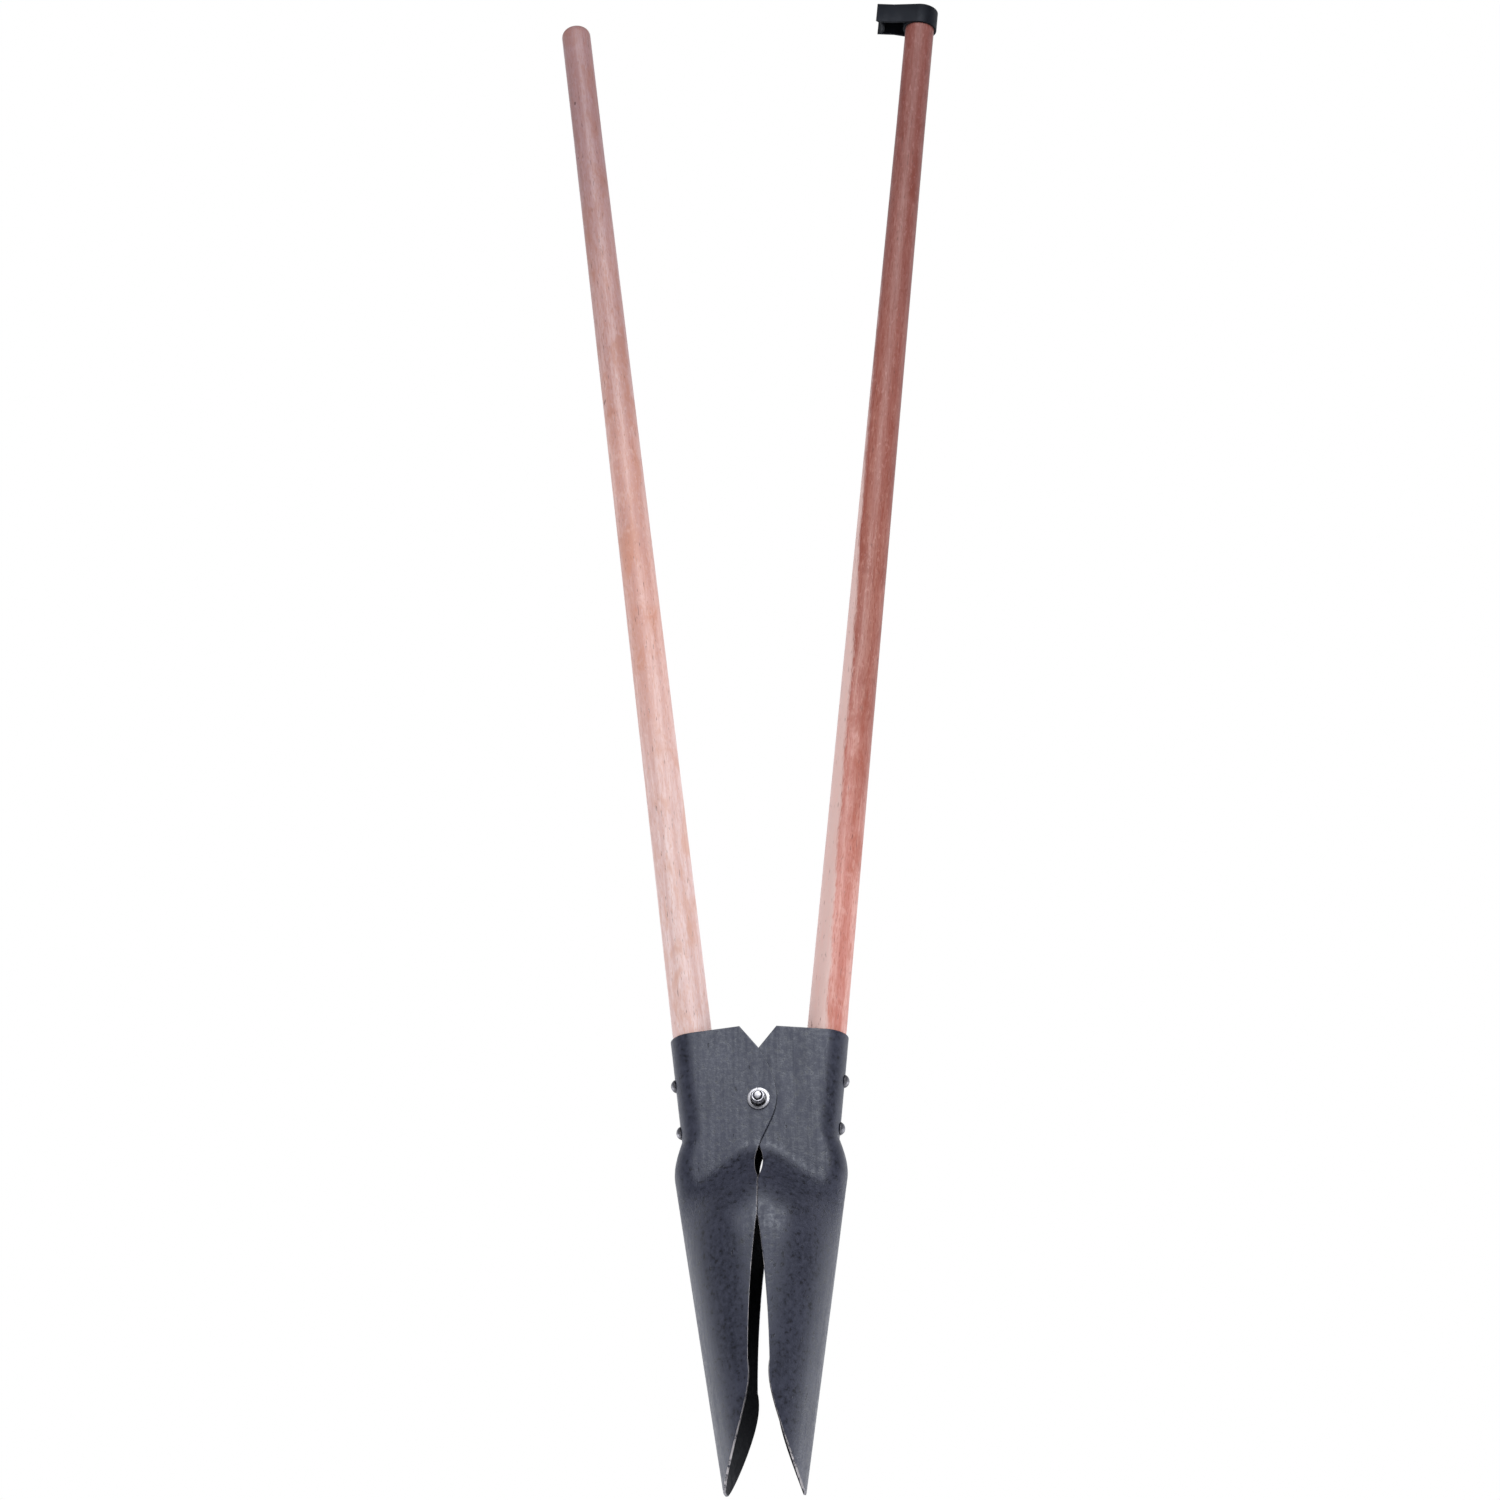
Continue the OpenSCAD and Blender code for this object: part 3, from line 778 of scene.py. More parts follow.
        points = np.concatenate([outer.reshape(-1, 3), inner.reshape(-1, 3), *loops])
        faces: list[Face] = []
        for i in range(n_rows - 1):
            for j in range(n_cols - 1):
                k = i * n_cols + j
                faces.append((k, k + n_cols, k + n_cols + 1, k + 1))
                faces.append((grid + k, grid + k + 1, grid + k + n_cols + 1, grid + k + n_cols))
        flat_ring = rim_i * n_cols + rim_j
        count = len(ring)
        stack = [flat_ring] + [2 * grid + m * count + np.arange(count) for m in range(len(loops))]
        stack.append(grid + flat_ring)
        for upper, lower in zip(stack, stack[1:]):
            for m in range(count):
                n = (m + 1) % count
                faces.append((int(upper[m]), int(upper[n]), int(lower[n]), int(lower[m])))
        edge = np.zeros(len(points))
        edge[2 * grid:] = np.repeat(self.wear, count)
        edge[flat_ring] = self.rim_wear
        edge *= np.clip((self.wear_level - points[:, 2]) / self.wear_fade, -1, 1)
        # The inner skin is marked so that the finish can paint it in shade.
        hollow = np.zeros(len(points))
        hollow[grid:2 * grid] = 1.0
        return points, faces, {"edge": edge, "hollow": hollow, "stretch": self.stretch(points)}

    def stretch(self, points: Array) -> Array:
        """How much the press has roughened the sheet at each point, from 0 to 1."""
        x, _, z = points.T
        down_flare = np.exp(-((self.flare_run(x, z) - 0.30) / 0.42) ** 2)
        outward = np.clip((x - 12) / 45, 0.12, 1)
        return np.clip(down_flare * outward, 0, 1)

    def place(self, side: Side) -> Matrix:
        """Placing of the jaw frame in the row frame, from millimetres to metres."""
        lean = Matrix.Rotation(math.radians(self.splay), 4, "Y")
        step = Matrix.Translation((0, self.jaw_offset, self.pivot_h))
        return Matrix.Scale(MM, 4) @ Matrix.Rotation(side.turn, 4, "Z") @ step @ lean

    def build(self, side: Side, finish: bpy.types.Material) -> bpy.types.Object:
        """Makes one jaw with its pivot and rivet holes.

        Args:
            side: Which half it belongs to.
            finish: The coating.

        Returns:
            The jaw, riding on its half.
        """
        points, faces, values = self.mesh()
        piece = mesh_object(f"{side.word}_jaw_pressing", points, faces, self.place(side), values)
        reach = 2 * self.socket_r + 4
        drills = [tube(self.pivot_hole_d / 2, reach, Matrix.Rotation(math.pi / 2, 4, "X"))]
        for level in (self.rivet_up, -self.rivet_down):
            at = Matrix.Translation((self.axis_out + reach / 2 + 6, 0, level))
            drills.append(tube(self.hole_d / 2, reach, at @ Matrix.Rotation(math.pi / 2, 4, "Y")))
        cutter = mesh_object(f"{side.word}_drills", *join_shells(drills), self.place(side))
        piece = cut_away(piece, cutter)
        return fit(piece, finish, side.body, [f"{side.word}_jaw"])


JAW = Jaw()


def tube(radius: float, length: float, place: Matrix) -> Shell:
    """Closed cylinder centred on the origin along z, then placed."""
    return lathe([(radius, -length / 2), (radius, length / 2)], 48, place)


def moved(points: Array, place: Matrix) -> Array:
    """Points turned and shifted by a placing."""
    return points @ np.array(place.to_3x3()).T + np.array(place.translation)


def lathe(profile: Profile, segments: int, place: Matrix, radius_of: RadiusOf | None = None) -> Shell:
    """Closed solid of revolution about z.

    Args:
        profile: Radius and height of each ring, from the lower end to the upper one.
        segments: Points on each ring.
        place: Placing of the finished points.
        radius_of: Changes the radius, given radius, angle and height.

    Returns:
        The points and the faces.
    """
    rings = np.array(profile, float)
    angle = np.arange(segments) * 2 * np.pi / segments
    radius = np.broadcast_to(rings[:, :1], (len(rings), segments))
    height = np.broadcast_to(rings[:, 1:], radius.shape)
    if radius_of is not None:
        radius = radius_of(radius, angle[None, :], height)
    points = np.stack([radius * np.cos(angle), radius * np.sin(angle), height], -1).reshape(-1, 3)
    faces: list[Face] = []
    for i in range(len(rings) - 1):
        for j in range(segments):
            k, n = i * segments + j, i * segments + (j + 1) % segments
            faces.append((k, n, n + segments, k + segments))
    last = (len(rings) - 1) * segments
    faces.append(tuple(range(segments - 1, -1, -1)))
    faces.append(tuple(range(last, last + segments)))
    return moved(points, place), faces


def ring_shell(outer: Profile, inner: Profile, segments: int, place: Matrix,
               radius_of: RadiusOf | None = None) -> Shell:
    """Closed ring about z, from an outer profile going up and an inner one coming down.

    Args:
        outer: Radius and height of each outer ring, from low to high.
        inner: Radius and height of each inner ring, from high to low.
        segments: Points on each ring.
        place: Placing of the finished points.
        radius_of: Changes the outer radius, given radius, angle and height.

    Returns:
        The points and the faces.
    """
    out_points, out_faces = lathe(outer, segments, Matrix(), radius_of)
    in_points, in_faces = lathe(inner, segments, Matrix())
    shift = len(out_points)
    faces = out_faces[:-2] + [tuple(k + shift for k in face) for face in in_faces[:-2]]
    last_out, last_in = shift - segments, shift + len(in_points) - segments
    for j in range(segments):
        n = (j + 1) % segments
        faces.append((last_out + j, last_out + n, shift + n, shift + j))
        faces.append((last_in + j, last_in + n, n, j))
    return moved(np.concatenate([out_points, in_points]), place), faces


def join_shells(shells: Sequence[Shell]) -> Shell:
    """Joins closed shells into one list of points and one of faces."""
    points, faces, shift = [], [], 0
    for shell_points, shell_faces in shells:
        points.append(shell_points)
        faces += [tuple(k + shift for k in face) for face in shell_faces]
        shift += len(shell_points)
    return np.concatenate(points), faces


def mesh_object(name: str, points: Array, faces: Sequence[Face], place: Matrix,
                values: dict[str, Array] | None = None) -> bpy.types.Object:
    """Makes a mesh object at the origin, with its place in its mesh and its faces outward.

    Args:
        name: Object name.
        points: Points before placing.
        faces: Faces by point number.
        place: Placing, which also turns millimetres into metres.
        values: Values on the points, by attribute name.

    Returns:
        The new object.
    """
    mesh = bpy.data.meshes.new(name)
    mesh.from_pydata([tuple(p) for p in points], [], [tuple(f) for f in faces])
    for key, data in (values or {}).items():
        mesh.attributes.new(key, "FLOAT", "POINT").data.foreach_set("value", data)
    mesh.transform(place)
    work = bmesh.new()
    work.from_mesh(mesh)
    if work.calc_volume(signed=True) < 0:
        bmesh.ops.reverse_faces(work, faces=work.faces)
    work.to_mesh(mesh)
    work.free()
    piece = bpy.data.objects.new(name, mesh)
    bpy.context.scene.collection.objects.link(piece)
    return piece


def settle(piece: bpy.types.Object) -> bpy.types.Object:
    """Turns an object with modifiers into a plain mesh without them.

    Args:
        piece: The object.

    Returns:
        The same object.
    """
    bpy.context.view_layer.update()
    graph = bpy.context.evaluated_depsgraph_get()
    mesh = bpy.data.meshes.new_from_object(piece.evaluated_get(graph))
    piece.modifiers.clear()
    piece.data = mesh
    mesh.name = piece.name
    return piece


def cut_away(piece: bpy.types.Object, cutter: bpy.types.Object) -> bpy.types.Object:
    """Cuts one object's solids out of another, then removes the cutter.

    Args:
        piece: The object that is cut.
        cutter: The tool.

    Returns:
        The cut object.
    """
    modifier = piece.modifiers.new("cut", "BOOLEAN")
    modifier.operation = "DIFFERENCE"
    modifier.solver = "EXACT"
    modifier.object = cutter
    settle(piece)
    bpy.data.objects.remove(cutter)
    return piece


def fit(piece: bpy.types.Object, finish: bpy.types.Material, body: str, nodes: Sequence[str],
        smooth: float = 38.0) -> bpy.types.Object:
    """Gives a piece its finish and shading, and sets it on its body in place of CAD nodes.

    Args:
        piece: The piece.
        finish: Its material.
        body: CAD body that it rides on.
        nodes: CAD nodes that it stands for.
        smooth: Largest angle between faces that are shaded as one, in degrees.

    Returns:
        The same piece.
    """
    piece.data.materials.clear()
    piece.data.materials.append(finish)
    piece.data.polygons.foreach_set("material_index", [0] * len(piece.data.polygons))
    piece.data.polygons.foreach_set("use_smooth", [True] * len(piece.data.polygons))
    piece.data.set_sharp_from_angle(angle=math.radians(smooth))
    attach(piece, body)
    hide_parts(*nodes)
    return piece


def geometry_tree(name: str, sizes: dict[str, str]) -> tuple[bpy.types.NodeTree, Recipe, bpy.types.Node]:
    """Starts a Geometry Nodes tree with named inputs.

    Args:
        name: Tree name.
        sizes: Socket type of each input, by name.

    Returns:
        The tree, its writer, and its input node.
    """
    tree = bpy.data.node_groups.new(name, "GeometryNodeTree")
    tree.interface.new_socket("Geometry", in_out="OUTPUT", socket_type="NodeSocketGeometry")
    for key, kind in sizes.items():
        tree.interface.new_socket(key, in_out="INPUT", socket_type=kind)
    recipe = Recipe(tree)
    return tree, recipe, recipe.add("NodeGroupInput")


def grow(name: str, tree: bpy.types.NodeTree, values: dict[str, Any]) -> bpy.types.Object:
    """Runs a Geometry Nodes tree on an empty mesh and keeps the plain result.

    Args:
        name: Name of the new object.
        tree: The tree.
        values: Value of each named input.

    Returns:
        The new object, without modifiers.
    """
    piece = bpy.data.objects.new(name, bpy.data.meshes.new(name))
    bpy.context.scene.collection.objects.link(piece)
    modifier = piece.modifiers.new(tree.name, "NODES")
    modifier.node_group = tree
    for key, value in values.items():
        modifier[tree.interface.items_tree[key].identifier] = value
    return settle(piece)


@dataclass
class Handle:
    """Long tapered wooden handle, turned on a lathe, with a straight foot and a straight grip."""

    above: float = 1180
    below: float = 39
    foot_len: float = 125
    grip_d: float = 29
    grip_len: float = 130
    end_round: float = 10
    crown: float = 4
    foot_chamfer: float = 2
    rings: int = 260
    segments: int = 72
    crowding: float = 0.97
    drill_len: float = 80
    jaw: Jaw = field(default_factory=lambda: JAW)

    def tree(self) -> bpy.types.NodeTree:
        """Writes the tree that turns a handle from named sizes.

        Returns:
            The Geometry Nodes tree.
        """
        number, whole = "NodeSocketFloat", "NodeSocketInt"
        sizes = {
            "Lower End": number, "Upper End": number, "Foot Radius": number, "Grip Radius": number,
            "Taper Start": number, "Taper End": number, "End Round": number, "Foot Chamfer": number,
            "Rings": whole, "Segments": whole, "Crowding": number,
            "Hole Radius": number, "Upper Hole": number, "Lower Hole": number,
            "Turn": "NodeSocketRotation", "Foot Place": "NodeSocketVector", "Finish": "NodeSocketMaterial",
        }
        tree, r, given = geometry_tree("turned_handle", sizes)
        size = given.outputs
        low = r.add("ShaderNodeCombineXYZ", {"Z": size["Lower End"]}).outputs[0]
        high = r.add("ShaderNodeCombineXYZ", {"Z": size["Upper End"]}).outputs[0]
        line = r.add("GeometryNodeCurvePrimitiveLine", {"Start": low, "End": high})
        spun = r.add("GeometryNodeResampleCurve", {"Curve": line.outputs[0], "Count": size["Rings"]})
        run = r.add("GeometryNodeSplineParameter").outputs["Factor"]
        wave = r.math("SINE", r.times(run, 2 * math.pi))
        wave = r.times(r.math("DIVIDE", wave, 2 * math.pi), size["Crowding"])
        length = r.math("SUBTRACT", size["Upper End"], size["Lower End"])
        level = r.math("MULTIPLY_ADD", r.math("SUBTRACT", run, wave), length, size["Lower End"])
        spot = r.add("ShaderNodeCombineXYZ", {"Z": level}).outputs[0]
        axis = r.add("GeometryNodeSetPosition", {"Geometry": spun.outputs[0], "Position": spot})
        here = r.add("GeometryNodeInputPosition").outputs[0]
        z = r.split(here)["Z"]
        taper = r.add("ShaderNodeMapRange", {
            "Value": z, "From Min": size["Taper Start"], "From Max": size["Taper End"],
            "To Min": size["Foot Radius"], "To Max": size["Grip Radius"],
        }).outputs["Result"]
        from_top = r.math("SUBTRACT", size["Upper End"], z)
        dip = r.math("MAXIMUM", r.math("SUBTRACT", size["End Round"], from_top), 0.0)
        inner = r.math("SUBTRACT", r.times(size["End Round"], size["End Round"]), r.times(dip, dip))
        bulge = r.math("SQRT", r.math("MAXIMUM", inner, 0.0))
        # Below the rounding the cap is 1 m wider, so that it never limits the radius there.
        cap = r.total(r.math("SUBTRACT", size["Grip Radius"], size["End Round"]), bulge,
                      r.math("LESS_THAN", dip, 1e-9))
        slope = r.math("SUBTRACT", z, size["Lower End"])
        chamfer = r.total(r.math("SUBTRACT", size["Foot Radius"], size["Foot Chamfer"]), slope)
        radius = r.math("MINIMUM", r.math("MINIMUM", taper, cap), chamfer)
        circle = r.add("GeometryNodeCurvePrimitiveCircle", {"Resolution": size["Segments"], "Radius": 1.0})
        skin = r.add("GeometryNodeCurveToMesh", {
            "Curve": axis.outputs[0], "Profile Curve": circle.outputs[0], "Scale": radius, "Fill Caps": True,
        })
        solid = skin.outputs[0]
        for hole in ("Upper Hole", "Lower Hole"):
            rod = r.add("GeometryNodeMeshCylinder", {
                "Vertices": 48, "Radius": size["Hole Radius"], "Depth": self.drill_len * MM,
            })
            at = r.add("ShaderNodeCombineXYZ", {"Z": size[hole]}).outputs[0]
            move = r.add("GeometryNodeTransform", {
                "Geometry": rod.outputs[0], "Translation": at, "Rotation": Euler((0, math.pi / 2, 0)),
            })
            bore = r.add("GeometryNodeMeshBoolean", {0: solid, 1: move.outputs[0]},
                         operation="DIFFERENCE", solver="EXACT")
            solid = bore.outputs[0]
        placed = r.add("GeometryNodeTransform", {
            "Geometry": solid, "Translation": size["Foot Place"], "Rotation": size["Turn"],
        })
        real = r.add("GeometryNodeRealizeInstances", {"Geometry": placed.outputs[0]})
        done = r.add("GeometryNodeSetMaterial", {"Geometry": real.outputs[0], "Material": size["Finish"]})
        r.add("NodeGroupOutput", {0: done.outputs[0]})
        return tree

    def build(self, side: Side, tree: bpy.types.NodeTree, finish: bpy.types.Material,
              slot: Slot) -> bpy.types.Object:
        """Makes one handle.

        Args:
            side: Which half it belongs to.
            tree: The handle tree.
            finish: The wood.
            slot: Not used.

        Returns:
            The handle, riding on its half.
        """
        place = self.jaw.place(side) @ Matrix.Translation((self.jaw.axis_out, 0, 0))
        values = {
            "Lower End": -self.below * MM,
            "Upper End": (self.above + (self.crown if side is Side.LEFT else 0)) * MM,
            "Foot Radius": self.jaw.foot_d / 2 * MM, "Grip Radius": self.grip_d / 2 * MM,
            "Taper Start": (self.foot_len - self.below) * MM,
            "Taper End": (self.above - self.grip_len) * MM,
            "End Round": self.end_round * MM, "Foot Chamfer": self.foot_chamfer * MM,
            "Rings": self.rings, "Segments": self.segments, "Crowding": self.crowding,
            "Hole Radius": self.jaw.hole_d / 2 * MM,
            "Upper Hole": self.jaw.rivet_up * MM, "Lower Hole": -self.jaw.rivet_down * MM,
            "Turn": Euler((0, math.radians(self.jaw.splay), side.turn)),
            "Foot Place": place.translation, "Finish": finish,
        }
        piece = grow(f"{side.word}_handle_turning", tree, values)
        return fit(piece, finish, side.body, [f"{side.word}_handle"])


@dataclass
class Rivets:
    """Round-head rivets through each socket, with a burr under each closed end."""

    shank_d: float = 6
    head_d: float = 12.4
    head_h: float = 4.4
    burr_d: float = 13
    burr_t: float = 1.5
    clinch_d: float = 9
    clinch_h: float = 2
    jaw: Jaw = field(default_factory=lambda: JAW)

    def tree(self) -> bpy.types.NodeTree:
        """Writes the tree that sets a template at both levels of a socket.

        Returns:
            The Geometry Nodes tree.
        """
        number = "NodeSocketFloat"
        tree, r, given = geometry_tree("socket_pair", {
            "Template": "NodeSocketObject", "Upper Level": number, "Drop": number, "Roll": number,
            "Seed": "NodeSocketInt", "Turn": "NodeSocketRotation", "Pivot Place": "NodeSocketVector",
            "Finish": "NodeSocketMaterial",
        })
        size = given.outputs
        start = r.add("ShaderNodeCombineXYZ", {"Z": size["Upper Level"]}).outputs[0]
        step = r.add("ShaderNodeCombineXYZ", {"Z": r.times(size["Drop"], -1.0)}).outputs[0]
        line = r.add("GeometryNodeMeshLine", {"Count": 2, "Start Location": start, "Offset": step})
        part = r.add("GeometryNodeObjectInfo", {"Object": size["Template"]})
        roll = r.add("FunctionNodeRandomValue", {3: size["Roll"], "Seed": size["Seed"]}, data_type="FLOAT")
        about = r.add("ShaderNodeCombineXYZ", {"X": roll.outputs[1]}).outputs[0]
        turn = r.add("FunctionNodeEulerToRotation", {0: about}).outputs[0]
        copies = r.add("GeometryNodeInstanceOnPoints", {
            "Points": line.outputs[0], "Instance": part.outputs["Geometry"], "Rotation": turn,
        })
        placed = r.add("GeometryNodeTransform", {
            "Geometry": copies.outputs[0], "Translation": size["Pivot Place"], "Rotation": size["Turn"],
        })
        real = r.add("GeometryNodeRealizeInstances", {"Geometry": placed.outputs[0]})
        done = r.add("GeometryNodeSetMaterial", {"Geometry": real.outputs[0], "Material": size["Finish"]})
        r.add("NodeGroupOutput", {0: done.outputs[0]})
        return tree

    def rivet(self) -> Shell:
        """Points and faces of one rivet, its axis along x, at the level of the jaw frame's origin."""
        dome = (self.head_h ** 2 + self.head_d ** 2 / 4) / 2 / self.head_h
        seat = self.jaw.socket_out
        inside = self.jaw.axis_out - self.jaw.foot_d / 2 - self.burr_t
        end = inside - self.clinch_h
        shank = self.shank_d / 2
        wide = self.clinch_d / 2
        closed = [(1.2, end), (wide - 1.7, end + 0.12), (wide - 0.7, end + 0.6), (wide - 0.1, inside - 0.5),
                  (wide - 0.1, inside), (shank, inside), (shank, seat)]
        under = [(self.head_d / 2 - 0.35, seat), (self.head_d / 2 - 0.08, seat + 0.12)]
        rise = np.linspace(0.35, self.head_h - 0.02, 14)
        crown = [(math.sqrt(max(dome ** 2 - (dome - self.head_h + h) ** 2, 0.0)), seat + h) for h in rise]
        profile = closed + under + crown + [(0.15, seat + self.head_h)]
        return lathe(profile, 48, Matrix.Rotation(math.pi / 2, 4, "Y"))

    def burr(self) -> Shell:
        """Points and faces of one burr, placed as its rivet is."""
        low = self.jaw.axis_out - self.jaw.foot_d / 2 - self.burr_t
        high, wide = low + self.burr_t, self.burr_d / 2
        outer = [(wide - 0.5, low), (wide - 0.12, low + 0.14), (wide, low + 0.45), (wide, high - 0.2),
                 (wide - 0.15, high)]
        bore = self.jaw.hole_d / 2
        inner = [(bore, high), (bore, low + 0.2), (bore + 0.2, low)]
        return ring_shell(outer, inner, 48, Matrix.Rotation(math.pi / 2, 4, "Y"))

    def build(self, side: Side, tree: bpy.types.NodeTree,
              finish: bpy.types.Material) -> list[bpy.types.Object]:
        """Makes one socket's two rivets and two burrs.

        Args:
            side: Which half they belong to.
            tree: The pair tree.
            finish: The plated metal.

        Returns:
            The rivet pair and the burr pair, riding on their half.
        """
        made = []
        for seed, (word, shape) in enumerate((("rivet", self.rivet()), ("burr", self.burr())), start=3):
            template = mesh_object(f"{side.word}_{word}_template", *shape, Matrix.Scale(MM, 4))
            piece = grow(f"{side.word}_{word}_pair", tree, {
                "Template": template, "Upper Level": self.jaw.rivet_up * MM,
                "Drop": (self.jaw.rivet_up + self.jaw.rivet_down) * MM, "Roll": 2 * math.pi,
                "Seed": seed, "Turn": Euler((0, math.radians(self.jaw.splay), side.turn)),
                "Pivot Place": self.jaw.place(side).translation, "Finish": finish,
            })
            bpy.data.objects.remove(template)
            nodes = [f"{side.word}_{level}_{word}" for level in ("upper", "lower")]
            made.append(fit(piece, finish, side.body, nodes))
        return made


@dataclass
class Pivot:
    """Pivot bolt with its locking nut and two washers, all kept by the left half."""

    bolt_d: float = 8
    bolt_len: float = 58
    pitch: float = 1.25
    thread_depth: float = 0.6
    thread_len: float = 22
    turn_rings: int = 12
    flats: float = 13
    head_h: float = 5.3
    nut_hex_h: float = 5
    collar_h: float = 3
    collar_d: float = 12
    seat_d: float = 10
    washer_d: float = 21
    washer_t: float = 1.6
    play: float = 0.1
    crisp: float = 32
    jaw: Jaw = field(default_factory=lambda: JAW)

    def __post_init__(self) -> None:
        """Works out where the stack stands along Y."""
        self.face = self.jaw.socket_r + self.jaw.jaw_offset
        self.rear = self.face + self.play + self.washer_t

    def place(self, y: float) -> Matrix:
        """Placing of a piece on the pivot axis, with its own +Z towards the front."""
        up = Matrix.Rotation(math.pi / 2, 4, "X") @ Matrix.Rotation(math.pi / 2, 4, "Z")
        return Matrix.Scale(MM, 4) @ Matrix.Translation((0, y, self.jaw.pivot_h)) @ up

    def hexagon(self, radius: Array, angle: Array, height: Array) -> Array:
        """Radius of a hexagon, never more than the given radius, which makes its chamfers."""
        turn = np.mod(angle, np.pi / 3) - np.pi / 6
        return np.minimum(radius, self.flats / 2 / np.cos(turn))

    def chamfered(self, low: float, high: float) -> list[tuple[float, float]]:
        """Profile of a hexagon's corners, taken down at both ends."""
        corner = self.flats / 2 / math.cos(math.pi / 6)
        flat = self.flats / 2 - 0.25
        drop = (corner - flat) * math.tan(math.radians(30))
        share = np.linspace(0, 1, 6)
        lower = [(flat + (corner - flat) * s, low + drop * s) for s in share]
        upper = [(corner - (corner - flat) * s, high - drop + drop * s) for s in share]
        return lower + upper

    def bolt(self) -> Shell:
        """Points and faces of the bolt, from its chamfered head to its threaded end."""
        radius = self.bolt_d / 2
        head = self.chamfered(-self.head_h, 0.0)
        shank_end = self.bolt_len - self.thread_len
        shank = [(radius, 0.0), (radius, shank_end)]
        count = int(self.thread_len / self.pitch * self.turn_rings)
        thread = [(radius, z) for z in np.linspace(shank_end + 0.1, self.bolt_len - 0.8, count)]
        end = [(radius - 0.1, self.bolt_len - 0.72), (radius - 0.75, self.bolt_len - 0.12),
               (radius - 1.1, self.bolt_len), (0.4, self.bolt_len)]

        def shape(r: Array, angle: Array, z: Array) -> Array:
            """Hexagon on the head and a helical groove on the thread."""
            phase = np.mod(z / self.pitch - angle / (2 * np.pi), 1)
            groove = self.thread_depth * (1 - np.abs(2 * phase - 1) * 1.25).clip(0, 1)
            fade = np.clip((z - shank_end - 0.2) / 1.5, 0, 1)
            threaded = np.where(r > radius - 0.05, r - groove * fade, r)
            return np.where(z <= 0, np.where(r > radius + 0.5, self.hexagon(r, angle, z), r), threaded)

        return lathe(head + shank + thread + end, 96, Matrix(), shape)

    def nut(self) -> Shell:
        """Points and faces of the nut: hexagon, neck and round collar with its inner seat."""
        collar, top = self.collar_d / 2, self.nut_hex_h + self.collar_h
        outer = self.chamfered(0.0, self.nut_hex_h) + [
            (collar, self.nut_hex_h), (collar, top - 0.7), (collar - 0.18, top - 0.25), (collar - 0.55, top)]
        seat, bore = self.seat_d / 2, self.bolt_d / 2
        inner = [(seat - 0.35, top), (seat - 0.1, top - 0.2), (seat, top - 0.5), (seat, self.nut_hex_h),
                 (bore, self.nut_hex_h), (bore, 0.4), (bore + 0.4, 0.0)]

        def shape(r: Array, angle: Array, z: Array) -> Array:
            """Hexagon below the collar."""
            return np.where(r > collar + 1e-6, self.hexagon(r, angle, z), r)

        return ring_shell(outer, inner, 96, Matrix(), shape)

    def ring(self) -> Shell:
        """Points and faces of the nylon locking ring, with a lip bulged by the thread."""
        height, seat, bore = self.collar_h * 0.8, self.seat_d / 2, self.bolt_d / 2
        outer = [(seat, 0.0), (seat, height - 0.3), (seat - 0.2, height)]
        inner = [(bore + 0.35, height), (bore + 0.05, height - 0.35), (bore, height - 0.8), (bore, 0.0)]
        return ring_shell(outer, inner, 64, Matrix())

    def washer(self) -> Shell:
        """Points and faces of a stamped washer: one edge rolled over, the other crisp."""
        wide, bore, t = self.washer_d / 2, self.bolt_d / 2 + 0.1, self.washer_t
        outer = [(wide - 0.1, 0.0), (wide, 0.1), (wide, t - 0.5), (wide - 0.14, t - 0.16), (wide - 0.5, t)]
        inner = [(bore + 0.35, t), (bore + 0.08, t - 0.12), (bore, t - 0.4), (bore, 0.0)]
        return ring_shell(outer, inner, 96, Matrix())

    def build(self, metal: bpy.types.Material, nylon: bpy.types.Material) -> list[bpy.types.Object]:
        """Makes the pivot's five pieces.

        Args:
            metal: The plated metal.
            nylon: The locking ring's plastic.

        Returns:
            The pieces, riding on the left half.
        """
        front = -self.face - self.washer_t
        flip = Matrix.Rotation(math.pi, 4, "X") @ Matrix.Translation((0, 0, -self.washer_t))
        zinc, ring = (metal, Slot.BOLT), (nylon, Slot.NYLON)
        collar = self.place(front - self.nut_hex_h)
        plan = [
            ("pivot_bolt_threaded", self.bolt(), self.place(self.rear), "pivot_bolt", zinc),
            ("pivot_nut_collared", self.nut(), self.place(front), "pivot_nut", zinc),
            ("locking_ring_nylon", self.ring(), collar, "nut_locking_ring", ring),
            ("front_washer_stamped", self.washer(), self.place(-self.face), "front_washer", zinc),
            ("rear_washer_stamped", self.washer(), self.place(self.rear) @ flip, "rear_washer", zinc),
        ]
        made = []
        for name, shape, place, node, (finish, slot) in plan:
            piece = mesh_object(name, *shape, place)
            made.append(fit(piece, finish, Side.LEFT.body, [node], self.crisp))
        return made


